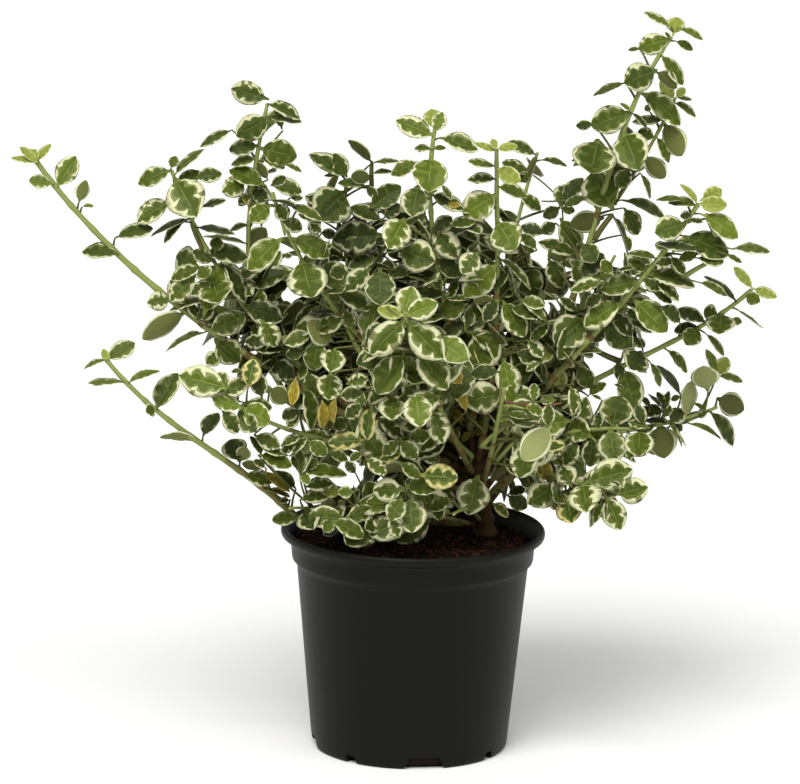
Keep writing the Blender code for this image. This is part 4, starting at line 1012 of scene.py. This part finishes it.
class Plant:
    def __init__(self, shoots, shapes):
        self.rng = random.Random(SEED)
        self.shoots, self.shapes = shoots, shapes
        self.leaves = []  # (kind, form, variant, 3x3 turn, length, place)
        self.middles = np.zeros((0, 3))
        self.waiting = []
        self.crown, self.seen = Crown(shoots), Seen()
        self.stems, self.twigs = Tubes(10), Tubes(6)
        self.heart = Vector((0.02, 0.01, 0.27))
        self.joints, self.near = {}, {}

    def spots(self, at, turn, length, form, variant, fine=False):
        """Points spread over a leaf's blade."""
        wide = self.shapes[form][variant][4] * length
        along, across = (18, 11) if fine else (5, 4)
        found = []
        for i in range(along):
            x = 0.2 + 0.8 * (i / (along - 1))
            half = wide * math.sin(math.pi * min(0.12 + 0.88 * (x - 0.11) / 0.89, 1.0)) ** 0.6
            for j in range(across):
                v = 2.0 * j / (across - 1) - 1.0
                found.append(at + turn @ Vector((x * length, 0.9 * v * half, 0.0)))
        return np.array([p[:] for p in found])

    def keep(self, kind, form, variant, turn, length, at):
        self.leaves.append((kind, form, variant, turn, length, at))
        self.waiting.append((at + turn @ Vector((length * 0.55, 0, 0)))[:])
        if len(self.waiting) > 40:
            self.settle()

    def settle(self):
        if self.waiting:
            self.middles = np.concatenate([self.middles, np.array(self.waiting)])
            self.waiting = []

    def crowd(self, p):
        """The distance to the nearest leaf's middle."""
        best = 1.0
        if len(self.middles):
            best = float(np.sqrt(((self.middles - np.array(p)) ** 2).sum(1).min()))
        for q in self.waiting:
            best = min(best, (Vector(q) - p).length)
        return best

    def room(self, points, middle, tip, measured, crowding):
        """Whether a grown leaf may stand at these points."""
        low, high = np.array(CAD_BOX[0]) - 0.006, np.array(CAD_BOX[1]) + 0.006
        if (points < low).any() or (points > high).any():
            return False
        flat = np.hypot(points[:, 0], points[:, 1])
        if ((points[:, 2] < POT_HEIGHT + 0.001) & (flat > COLLAR_RADIUS - 0.006) & (flat < RIM_RADIUS + 0.003)).any():
            return False
        if (points[:, 2] < SOIL_TOP + 0.005).any() or ((points[:, 2] < POT_HEIGHT) & (flat > RIM_RADIUS)).any():
            return False
        if self.crown.reach(middle) > 1.0 or self.crown.reach(tip) > 1.35:
            return False
        if share_in(points, SKY) > 0.09 or share_in(points, OPEN) > 0.09:
            return False
        if self.seen.covered_by(points) > 0.17:
            return False
        if measured and self.seen.hidden(points) < 0.70:
            return False
        return self.crowd(middle) > crowding

    def frame_of(self, axis, face):
        axis = axis.normalized()
        face = face - axis * face.dot(axis)
        if face.length < 1e-5:
            face = axis.orthogonal()
        face.normalize()
        return Matrix((axis, face.cross(axis), face)).transposed()

    def leaf(self, at, axis, face, length, kind, measured=False, crowding=0.008):
        """Adds a grown leaf where there is room for it."""
        form = "creamy" if self.rng.random() < 0.24 else "plain"
        if kind == "young":
            form = "slim"
        variant = self.rng.randrange(FORMS[form][0])
        turn = self.frame_of(axis, face)
        points = self.spots(at, turn, length, form, variant)
        middle = at + turn @ Vector((length * 0.55, 0, 0))
        tip = at + turn @ Vector((length, 0, 0))
        if self.room(points, middle, tip, measured, crowding):
            self.keep(kind, form, variant, turn, length, at)
            return True
        return False

    # The leaves that the photograph shows one by one.

    def foot_of(self, name, x, y):
        """The joint of a shoot that is seen nearest to a pixel: place, its t, distance in pixels."""
        shoot = self.shoots[name]
        ts = np.linspace(0.04, 1.02, 240)
        places = np.array([shoot.at(t)[:] for t in ts])
        px, py = in_view(places)
        away = np.hypot(px - x, py - y)
        best = int(np.argmin(away))
        return Vector(places[best]), float(ts[best]), float(away[best])

    def carrier(self, x, y, depth):
        """The limb that a joint far from its own shoot grows from: near, with no sky between."""
        found, least = None, math.inf
        for name, shoot in self.shoots.items():
            ts = np.linspace(0.06, 1.0, 48)
            places = np.array([shoot.at(t)[:] for t in ts])
            px, py = in_view(places)
            cost = np.hypot(np.hypot(px - x, py - y), 0.6 * (places[:, 1] - depth) / 0.00071)
            k = int(np.argmin(cost))
            if cost[k] < least:
                way = np.linspace(0.0, 1.0, 12)
                line = np.array([on_view(x, y, depth)[:]]) * way[:, None] + places[k] * (1 - way[:, None])
                if share_in(line, SKY) == 0.0:
                    found, least = (name, float(ts[k])), float(cost[k])
        return found

    def side_joint(self, name, x, y, place, t, away):
        """A joint beside a shoot, at the end of a twig that grows out of the shoot."""
        key = (name, round(x / 6.0), round(y / 6.0))
        if key not in self.joints:
            end = on_view(x, y, place.y - min(away, 45.0) * 0.00022)
            if away > 26.0:
                name, t = self.carrier(x, y, end.y) or (name, t)
            shoot = self.shoots[name]
            place = shoot.at(t)
            back = t - 0.6 * (end - place).length / shoot.length
            root = shoot.at(max(back, 0.05)) + LOOK * shoot.radius(t) * 0.5
            bend = root.lerp(end, 0.5) + (shoot.heading(t) * 0.10 + LOOK * 0.35) * (end - root).length
            path, radii = [], []
            for k in range(7):
                s = k / 6.0
                path.append(root.lerp(bend, s).lerp(bend.lerp(end, s), s))
                radii.append(0.00105 - 0.00045 * s)
            self.twigs.add(path, radii, [1] * 7)
            self.joints[key] = end
        return self.joints[key]

    def aimed(self, at, x, y, width, form, variant, under):
        """How a leaf stands whose tip is seen at a pixel, with a width in pixels: turn, length."""
        ratio = self.shapes[form][variant][4] * 2.0
        scale = (at - CAMERA_AT).dot(LOOK) / LENS_PX
        flat = on_view(x, y, at.y) - at
        seen = flat.length / scale * 1.02 + 0.5
        broad = min(max(width / (ratio * seen), 1.0), 1.25)
        full = min(max(seen, width / (ratio * broad)), 52.0)
        flat.normalize()
        view = (at - CAMERA_AT).normalized()
        flat = (flat - view * flat.dot(view)).normalized()
        lean = math.acos(min(seen / full, 1.0))
        toward = (flat.z < 0.25) != under
        axis = flat * math.cos(lean) - view * (math.sin(lean) * (1 if toward else -1))
        front = (-view - axis * (-view).dot(axis)).normalized()
        roll = math.acos(min(1.0, width / (ratio * broad * full)))
        side = front.cross(axis)
        if side.z < 0:
            side = -side
        face = front * math.cos(roll) * (-1 if under else 1) + side * math.sin(roll)
        return self.frame_of(axis, face) @ Matrix.Diagonal((1.0, broad, 1.0)), full * scale

    def behind(self, name, spots):
        """How far a leaf's spots reach behind the near side of its shoot, where the two cross."""
        if name not in self.near:
            shoot = self.shoots[name]
            ts = np.linspace(0.0, 1.0, 140)
            places = np.array([shoot.at(t)[:] for t in ts])
            girth = np.array([shoot.radius(t) for t in ts])
            depth = (places - np.array(CAMERA_AT[:])) @ np.array(LOOK[:])
            self.near[name] = (*in_view(places), depth - girth, girth)
        px, py, near, girth = self.near[name]
        sx, sy = in_view(spots)
        depth = (spots - np.array(CAMERA_AT[:])) @ np.array(LOOK[:])
        away = np.hypot(sx[:, None] - px[None], sy[:, None] - py[None])
        k = away.argmin(axis=1)
        crossing = away.min(axis=1) < 1.3 * girth[k] / 0.00071
        return float((depth[crossing] - near[k][crossing]).max()) if crossing.any() else 0.0

    def seen_twigs(self):
        """Thin stems that show by themselves: where each is seen to start and end, and how thick."""
        for name, rows in SEEN_TWIGS.items():
            for x0, y0, x1, y1, wide, tint in rows:
                place, t, away = self.foot_of(name, x0, y0)
                if away > 8.0:
                    near, t = self.carrier(x0, y0, place.y) or (name, t)
                    place = self.shoots[near].at(t)
                start = on_view(x0, y0, place.y)
                end = on_view(x1, y1, place.y - 0.004)
                way = (end - start).normalized()
                bend = start.lerp(end, 0.5) + way.cross(LOOK) * 0.05 * (end - start).length
                thick = wide * 0.00071 / 2.0
                path, radii = [], []
                if away > 5.0:
                    for k in range(5):
                        path.append(place.lerp(start, k / 5.0) + LOOK * 0.004 * math.sin(math.pi * k / 5.0))
                        radii.append(0.0009 + (thick - 0.0009) * k / 5.0)
                for k in range(9):
                    s = k / 8.0
                    path.append(start.lerp(bend, s).lerp(bend.lerp(end, s), s))
                    radii.append(thick * (1.1 - 0.25 * s) * (1.0 if k < 8 else 0.5))
                self.twigs.add(path, radii, [tint] * len(path))

    def measured(self):
        rng = self.rng
        table = [(name, *row) for name, rows in SEEN_LEAVES.items() for row in rows]
        for name, foot_x, foot_y, tip_x, tip_y, width, look in table:
            place, t, away = self.foot_of(name, foot_x, foot_y)
            at = place if away <= 5.0 else self.side_joint(name, foot_x, foot_y, place, t, away)
            kind, under = LOOKS[look[0]], look.endswith("u")
            root = at
            lift = 0.0 if under else (self.shoots[name].radius(t) if away <= 5.0 else 0.0008)
            creamy = look[0] == "o" or "c" in look
            form = "creamy" if creamy else ("slim" if kind == "young" else "plain")
            variant = rng.randrange(FORMS[form][0])
            aim_x, aim_y = tip_x, tip_y
            for step in range(6):
                at = root - LOOK * lift
                turn, length = self.aimed(at, aim_x, aim_y, width * 1.10 + 1.0, form, variant, under)
                x, y = in_view((at + turn @ (self.shapes[form][variant][5] * length))[:])
                aim_x, aim_y = aim_x + 0.8 * (tip_x - x[0]), aim_y + 0.8 * (tip_y - y[0])
                spots = self.spots(at, turn, length, form, variant, fine=True)
                if step > 2 and not under:
                    lift = min(lift + max(self.behind(name, spots), 0.0), 0.0065)
            at = root - LOOK * lift
            if lift > 0.0012:
                self.twigs.add([root, root.lerp(at, 0.5), at + LOOK * 0.0004], [0.0008, 0.0006, 0.0005], [1] * 3)
            self.keep(kind, form, variant, turn, length, at)
            self.seen.add(self.spots(at, turn, length, form, variant, fine=True))
        self.settle()

    # The rest of the crown, by rule.

    def tone(self):
        """The kind of leaf that a spray mostly bears."""
        return self.rng.choices(("deep", "dark", "mid", "fresh"), (2, 5, 5, 2))[0]

    def kind_of(self, tone, at):
        inner = self.crown.reach(at) < 0.7 and (at - self.heart).length < 0.11 and at.z < 0.29
        roll = self.rng.random()
        if inner and roll < 0.12:
            return "gold" if roll < 0.05 else "yellow"
        if roll < 0.66:
            return tone
        return self.rng.choice(("deep", "dark", "mid", "fresh", "light"))

    def faced(self, at):
        """Which way a leaf's upper side faces: up, and out of the crown."""
        out = at - self.heart
        out.z *= 0.35
        out.normalize()
        stray = Vector([self.rng.uniform(-0.42, 0.42) for _ in range(3)])
        return Vector((0, -0.16, 0.62)) + out * 0.70 + stray

    def pair(self, at, heading, turn, length, tone, measured=False, young=False, crowding=0.008):
        """An opposite pair of leaves at a joint."""
        rng = self.rng
        start = heading.orthogonal().normalized()
        start.rotate(Matrix.Rotation(turn, 3, heading))
        for flip in (1, -1):
            away = start * flip
            spread = math.radians(rng.uniform(20, 45) if young else rng.uniform(46, 80))
            axis = heading * math.cos(spread) + away * math.sin(spread)
            axis += Vector((0, 0, -rng.uniform(0.0, 0.40)))
            axis += Vector([rng.uniform(-0.14, 0.14) for _ in range(3)])
            size = length * rng.uniform(0.86, 1.12)
            kind = "young" if young else self.kind_of(tone, at)
            self.leaf(at + away * 0.001, axis, self.faced(at), size, kind, measured, crowding)

    def twig(self, root, way, end, measured):
        """A side twig with a pair of leaves on each joint and a rosette at its end."""
        rng = self.rng
        reach = (end - root).length
        bend = root.lerp(end, 0.5) + way * (0.16 * reach) - Vector((0, 0, 0.03 * reach))
        steps = max(4, round(reach / 0.006))
        path = []
        for k in range(steps + 1):
            s = k / steps
            path.append(root.lerp(bend, s).lerp(bend.lerp(end, s), s))
        if share_in(np.array([p[:] for p in path]), SKY) > 0.0:
            return
        before = len(self.leaves)
        tone = self.tone()
        turn = rng.uniform(0, math.pi)
        gap = rng.uniform(0.011, 0.015)
        walked, last = 0.0, 0
        for k in range(1, steps):
            walked += (path[k] - path[k - 1]).length
            if walked > gap:
                walked = 0.0
                turn += math.pi / 2 + rng.uniform(-0.3, 0.3)
                heading = (path[k + 1] - path[k - 1]).normalized()
                count = len(self.leaves)
                self.pair(path[k], heading, turn, rng.uniform(0.029, 0.035), tone, measured)
                if len(self.leaves) > count:
                    last = k
        heading = (path[-1] - path[-2]).normalized()
        count = len(self.leaves)
        young = rng.random() < 0.09
        for size in (1.0, 0.66) if rng.random() < 0.6 else (1.0,):
            turn += math.pi / 2 + rng.uniform(-0.3, 0.3)
            length = rng.uniform(0.027, 0.034) * size * (0.75 if young else 1.0)
            self.pair(path[-1], heading, turn, length, tone, measured, young, 0.006)
        if len(self.leaves) > count:
            last = steps
        if len(self.leaves) > before and last > 0:
            path = path[: last + 1]
            radii = [0.0012 - 0.0005 * k / max(last, 1) for k in range(last + 1)]
            self.twigs.add(path, radii, [self.rng.choice((0, 1, 1))] * len(path))

    def grow(self, stretch):
        """The leaves of one stretch of a shoot and its side twigs."""
        name, start, end, up, side, measured, sprays = stretch
        rng, shoot = self.rng, self.shoots[name]
        span = (end - start) * shoot.length
        joints = max(1, round(span / 0.018))
        turn = rng.uniform(0, math.pi)
        for k in range(joints + 1):
            t = start + (min(end, 1.0) - start) * (k + 0.5) / (joints + 1)
            turn += math.pi / 2 + rng.uniform(-0.2, 0.2)
            self.pair(shoot.at(t), shoot.heading(t), turn, rng.uniform(0.030, 0.036), self.tone(), measured)
        count = round(sprays * span / 0.020)
        around = rng.uniform(0, math.tau)
        for k in range(count):
            t = start + (min(end, 1.0) - start) * (k + rng.random()) / count
            around += 2.4 + rng.uniform(-0.3, 0.3)
            far = rng.uniform(0.40, 0.86)
            heading = shoot.heading(t)
            away = shoot.up * (math.cos(around) * up * far) + shoot.side * (math.sin(around) * side * far)
            root = shoot.at(max(t - 0.55 * away.length / shoot.length, 0.03))
            tip = shoot.at(t) + away + heading * (0.25 * away.length)
            if tip.z < SOIL_TOP + 0.016:
                continue
            if share_in(np.array([tip[:]]), SKY) or share_in(np.array([tip[:]]), OPEN):
                continue
            self.twig(root, heading, tip, measured)

    def limb(self, name, shoot):
        steps = max(12, round(shoot.length / 0.0045))
        path, radii, zones = [], [], []
        brown = {"low_left": 0.0, "second_tall": 0.0}.get(name, 0.045)
        thin = name.startswith("skirt")
        for i in range(steps + 1):
            t = i / steps
            path.append(shoot.at(t))
            joint = (t * shoot.length / 0.021) % 1.0
            joint = min(joint, 1 - joint)
            swell = 1.0 + (0.12 if thin else 0.24) * math.exp(-((joint / 0.13) ** 2))
            radii.append(shoot.radius(t) * swell)
            knot = joint < 0.09 and t < 0.62 and brown > 0.0
            zones.append(1 if t < brown else (3 if knot else (0 if t > 0.40 else 2)))
        self.stems.add(path, radii, zones, ridge=0.16, seed=len(self.stems.faces) % 97)


def leaf_pieces(plant, shapes):
    """The leaves joined, each kind apart, in pieces under 200,000 triangles."""
    made = []
    for kind in LEAF_KINDS:
        mine = [leaf for leaf in plant.leaves if leaf[0] == kind]
        if not mine:
            continue
        palette = leaf_palette(kind)
        each = len(shapes["plain"][0][1])
        most = 190000 // each
        for part in range(0, len(mine), most):
            points, faces, zones, places, base = [], [], [], [], 0
            for _, form, variant, turn, length, at in mine[part : part + most]:
                shape, tris, zone, place = shapes[form][variant][:4]
                world = (shape * length) @ np.array(turn).T + np.array(at)
                points.append(world)
                faces.append(tris + base)
                zones.append(zone)
                places.append(place)
                base += len(world)
            made.append(
                mesh_object(
                    f"leaves_{kind}_{part // most + 1}",
                    np.concatenate(points),
                    np.concatenate(faces),
                    np.concatenate(zones),
                    palette,
                    places=np.concatenate(places),
                )
            )
    return made


# ---------------------------------------------------------------- pot and compost

POT_HEIGHT, RIM_RADIUS, LIP, COLLAR_DEPTH = 0.161, 0.095, 0.0065, 0.024
COLLAR_RADIUS, WALL_TOP_RADIUS, BASE_RADIUS, WALL, FLOOR = 0.0868, 0.0830, 0.0706, 0.0016, 0.0030
SLOT_START_DEG, SLOT_WIDE, SLOT_NARROW = -81.0, (0.031, 0.0085), (0.010, 0.0060)


def wall_radius(z):
    top = POT_HEIGHT - COLLAR_DEPTH - 0.004
    return BASE_RADIUS + (WALL_TOP_RADIUS - BASE_RADIUS) * min(z / top, 1.0)


def pot_profile():
    rim, lip, foot = POT_HEIGHT, LIP, POT_HEIGHT - COLLAR_DEPTH
    inside = [
        (0.0, FLOOR),
        (wall_radius(FLOOR) - WALL - 0.0015, FLOOR),
        (wall_radius(FLOOR + 0.0015) - WALL, FLOOR + 0.0015),
        (WALL_TOP_RADIUS - WALL, foot - 0.004),
        (COLLAR_RADIUS - 0.0012 - WALL, foot + 0.001),
        (COLLAR_RADIUS + 0.0006 - WALL, rim - lip - 0.004),
        (RIM_RADIUS - 0.0050, rim - lip * 0.35),
        (RIM_RADIUS - 0.0034, rim - 0.0006),
    ]
    lip_round = []
    for k in range(9):
        a = math.radians(115 - 190 * k / 8)
        lip_round.append(
            (RIM_RADIUS - 0.0020 + 0.0020 * math.cos(a), rim - lip * 0.5 + lip * 0.5 * math.sin(a))
        )
    outside = lip_round + [
        (COLLAR_RADIUS + 0.0030, rim - lip - 0.0014),
        (COLLAR_RADIUS + 0.0018, rim - lip - 0.0028),
        (COLLAR_RADIUS + 0.0009, rim - lip - 0.0056),
        (COLLAR_RADIUS + 0.0004, foot + 0.0070),
        (COLLAR_RADIUS, foot + 0.0024),
        (COLLAR_RADIUS - 0.0004, foot + 0.0010),
        (COLLAR_RADIUS - 0.0014, foot),
        (WALL_TOP_RADIUS + 0.0008, foot - 0.0020),
        (WALL_TOP_RADIUS, foot - 0.0046),
        (wall_radius(0.090), 0.090),
        (wall_radius(0.050), 0.050),
        (BASE_RADIUS + 0.0003, 0.0050),
        (BASE_RADIUS, 0.0026),
        (BASE_RADIUS - 0.0004, 0.0014),
        (BASE_RADIUS - 0.0012, 0.0005),
        (BASE_RADIUS - 0.0030, 0.0),
        (0.0, 0.0),
    ]
    return inside + outside


def slot_cutter():
    bm = bmesh.new()
    for i in range(8):
        width, height = SLOT_WIDE if i % 2 == 0 else SLOT_NARROW
        turn = math.radians(SLOT_START_DEG + 45.0 * i - 90.0)
        for v in bmesh.ops.create_cube(bm, size=1.0)["verts"]:
            x, y, z = v.co
            radial = BASE_RADIUS - 0.0075 + (x + 0.5) * 0.020
            across = y * width * (0.72 if z > 0 else 1.06)
            v.co = Vector(
                (
                    radial * math.cos(turn) - across * math.sin(turn),
                    radial * math.sin(turn) + across * math.cos(turn),
                    height if z > 0 else -0.004,
                )
            )
    bmesh.ops.recalc_face_normals(bm, faces=bm.faces)
    mesh = bpy.data.meshes.new("slot_cutter")
    bm.to_mesh(mesh)
    bm.free()
    obj = bpy.data.objects.new("slot_cutter", mesh)
    bpy.context.scene.collection.objects.link(obj)
    return obj


def evaluated_mesh(obj):
    bpy.context.view_layer.update()
    graph = bpy.context.evaluated_depsgraph_get()
    mesh = bpy.data.meshes.new_from_object(obj.evaluated_get(graph))
    obj.modifiers.clear()
    obj.data = mesh
    return obj


def make_pot():
    steps = 128
    profile = pot_profile()
    points = [(r, 0.0, z) for r, z in profile]
    mesh = bpy.data.meshes.new("nursery_pot")
    mesh.from_pydata(points, [(i, i + 1) for i in range(len(points) - 1)], [])
    pot = bpy.data.objects.new("nursery_pot", mesh)
    bpy.context.scene.collection.objects.link(pot)
    screw = pot.modifiers.new("turn", "SCREW")
    screw.steps = screw.render_steps = steps
    screw.use_merge_vertices = True
    screw.merge_threshold = 0.00001
    cut = pot.modifiers.new("slots", "BOOLEAN")
    cut.object = slot_cutter()
    cut.operation = "DIFFERENCE"
    cutter = cut.object
    evaluated_mesh(pot)
    bpy.data.objects.remove(cutter, do_unlink=True)
    pot.data.shade_smooth()
    pot.data.set_sharp_from_angle(angle=math.radians(38))
    mat = plain("pot_black_plastic", "10110a", 0.42, 0.11)
    relief(mat, 900.0, 0.16, 0.0004, (0.36, 0.52), detail=3.0)
    pot.data.materials.clear()
    pot.data.materials.append(mat)
    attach(pot, "root")
    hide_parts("pot")


def soil_height(x, y):
    spot = Vector((x * 38.0, y * 38.0, 3.1))
    uneven = noise.noise(spot) * 0.6 + noise.noise(spot * 2.3) * 0.4
    mound = -x / RIM_RADIUS * 0.35
    away = min(math.hypot(x - STEM_FOOT[0], y - STEM_FOOT[1]) / 0.022, 1.0)
    return SOIL_TOP + 0.0040 * (uneven + mound) * away


def make_soil():
    rng = random.Random(SEED + 1)
    edge = COLLAR_RADIUS - WALL - 0.0005
    rings, sides = 46, 150
    points, faces = [], []
    for i in range(rings + 1):
        r = edge * (i / rings) ** 0.9
        for k in range(sides):
            a = math.tau * k / sides
            x, y = r * math.cos(a), r * math.sin(a)
            z = soil_height(x, y)
            fine = Vector((x, y, 0.4))
            z += 0.0016 * noise.noise(fine * 160.0) + 0.0011 * noise.noise(fine * 420.0)
            z += 0.0008 * abs(noise.noise(fine * 900.0))
            points.append((x, y, z))
    faces, _ = quads(rings + 1, sides, wrap=True)
    # The sides and the underside, inside the pot.
    low = [
        (edge - 0.0004, POT_HEIGHT - COLLAR_DEPTH + 0.001),
        (WALL_TOP_RADIUS - WALL - GAP, POT_HEIGHT - COLLAR_DEPTH - 0.0045),
        (wall_radius(0.006) - WALL - GAP, 0.006),
        (wall_radius(0.006) - WALL - GAP - 0.0022, FLOOR + GAP),
    ]
    for r, z in low:
        for k in range(sides):
            a = math.tau * k / sides
            points.append((r * math.cos(a), r * math.sin(a), z))
    start = rings * sides
    more, _ = quads(len(low) + 1, sides, wrap=True)
    faces += [(a + start, b + start, c + start) for a, b, c in more]
    last = start + len(low) * sides
    points.append((0.0, 0.0, FLOOR + GAP))
    centre = len(points) - 1
    for k in range(sides):
        faces.append((last + k, last + (k + 1) % sides, centre))
    faces = [f[::-1] for f in faces]
    peat = relief(plain("compost_peat", "1f140d", 0.96, 0.12), 1500.0, 1.0, 0.0012, (0.85, 1.0))
    soil = mesh_object("compost_bed", points, faces, [0] * len(faces), [peat], smooth=False)
    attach(soil, "root")
    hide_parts("compost")

    # Crumbs of peat and reddish bark fibres on the top.
    crumb_mats = [
        relief(plain("crumb_dark", "1d120b", 0.95, 0.12), 1800.0, 0.9, 0.0008),
        relief(plain("crumb_brown", "38221a", 0.93, 0.12), 1800.0, 0.9, 0.0008),
        relief(plain("crumb_red", "4c2a1c", 0.90, 0.14), 1800.0, 0.9, 0.0008),
    ]
    ball = bmesh.new()
    bmesh.ops.create_icosphere(ball, subdivisions=1, radius=1.0)
    unit = np.array([v.co[:] for v in ball.verts])
    tris = np.array([[v.index for v in f.verts] for f in ball.faces])
    ball.free()
    points, faces, zones, base = [], [], [], 0
    for n in range(2300):
        r = (edge - 0.002) * math.sqrt(rng.random())
        a = rng.uniform(0, math.tau)
        x, y = r * math.cos(a), r * math.sin(a)
        fibre = rng.random() < 0.30
        size = rng.uniform(0.0005, 0.0016) * (1.25 if fibre else 1.0)
        shape = unit * np.array(
            [
                [
                    size * (rng.uniform(1.6, 3.4) if fibre else rng.uniform(0.8, 1.5)),
                    size * (0.5 if fibre else rng.uniform(0.7, 1.2)),
                    size * (0.45 if fibre else rng.uniform(0.5, 1.0)),
                ]
            ]
        )
        shape *= 1 + 0.25 * np.array([[rng.uniform(-1, 1)] for _ in range(len(unit))])
        turn = Matrix.Rotation(rng.uniform(0, math.tau), 3, "Z") @ Matrix.Rotation(
            rng.uniform(-0.5, 0.5), 3, "Y"
        )
        points.append(shape @ np.array(turn).T + np.array([x, y, soil_height(x, y) + size * 0.45]))
        faces.append(tris + base)
        zones.append(np.full(len(tris), 2 if fibre and rng.random() < 0.6 else rng.choice((0, 0, 1))))
        base += len(unit)
    crumbs = mesh_object(
        "compost_crumbs", np.concatenate(points), np.concatenate(faces),
        np.concatenate(zones), crumb_mats, smooth=False,
    )
    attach(crumbs, "root")


# ---------------------------------------------------------------- build


def build():
    make_camera()
    make_stage()
    make_pot()
    make_soil()

    rng = random.Random(SEED + 2)
    shapes = {form: [leaf_shape(rng, form) for _ in range(FORMS[form][0])] for form in FORMS}
    shoots = all_shoots()
    plant = Plant(shoots, shapes)
    path, radii = [], []
    for i in range(25):
        h = i / 24
        path.append(stem_axis(h))
        radii.append(stem_radius(h) * (1.0 + 0.10 * math.sin(i * 1.7)))
    plant.stems.add(path, radii, [1] * len(path), ridge=0.30, seed=3)
    for name, shoot in shoots.items():
        plant.limb(name, shoot)
    plant.seen_twigs()
    plant.measured()
    measured = len(plant.leaves)
    for stretch in LEAFY:
        plant.grow(stretch)

    bark = [
        relief(plain("stem_green", "858f4e", 0.58, 0.20), 700.0, 0.6, 0.0006, (0.45, 0.7)),
        relief(plain("stem_brown", "4e3a22", 0.80, 0.16), 500.0, 0.9, 0.0010, (0.7, 0.95), (1, 1, 0.3)),
        relief(plain("stem_olive", "767340", 0.64, 0.18), 600.0, 0.7, 0.0007, (0.5, 0.75)),
        relief(plain("stem_knot", "705a34", 0.70, 0.16), 800.0, 0.8, 0.0007, (0.55, 0.85)),
    ]
    stems = plant.stems.object("stems", bark)
    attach(stems, "root")
    nodes = set(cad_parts)
    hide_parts(*sorted(n for n in nodes if n.startswith("bough_") or n == "main_stem"))
    # The side twigs' darker olive is partly their own colour and partly painted shade, for twigs inside the crown's
    # shadow.
    twig_shade = relief(plain("twig_olive_shade", "5f6034", 0.62, 0.16), 800.0, 0.5, 0.0005, (0.5, 0.75))
    twig_red = relief(plain("twig_red", "7d4c3c", 0.62, 0.18), 800.0, 0.5, 0.0005, (0.5, 0.75))
    twigs = plant.twigs.object("twigs", [bark[0], twig_shade, twig_red])
    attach(twigs, "root")

    pieces = leaf_pieces(plant, shapes)
    for piece in pieces:
        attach(piece, "root")
    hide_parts(*sorted(n for n in nodes if n.startswith("leaves_")))
    sizes = {p.name: len(p.data.polygons) for p in pieces + [stems, twigs]}
    print("leaves", len(plant.leaves), "measured", measured, "triangles", sum(sizes.values()), sizes)


build()
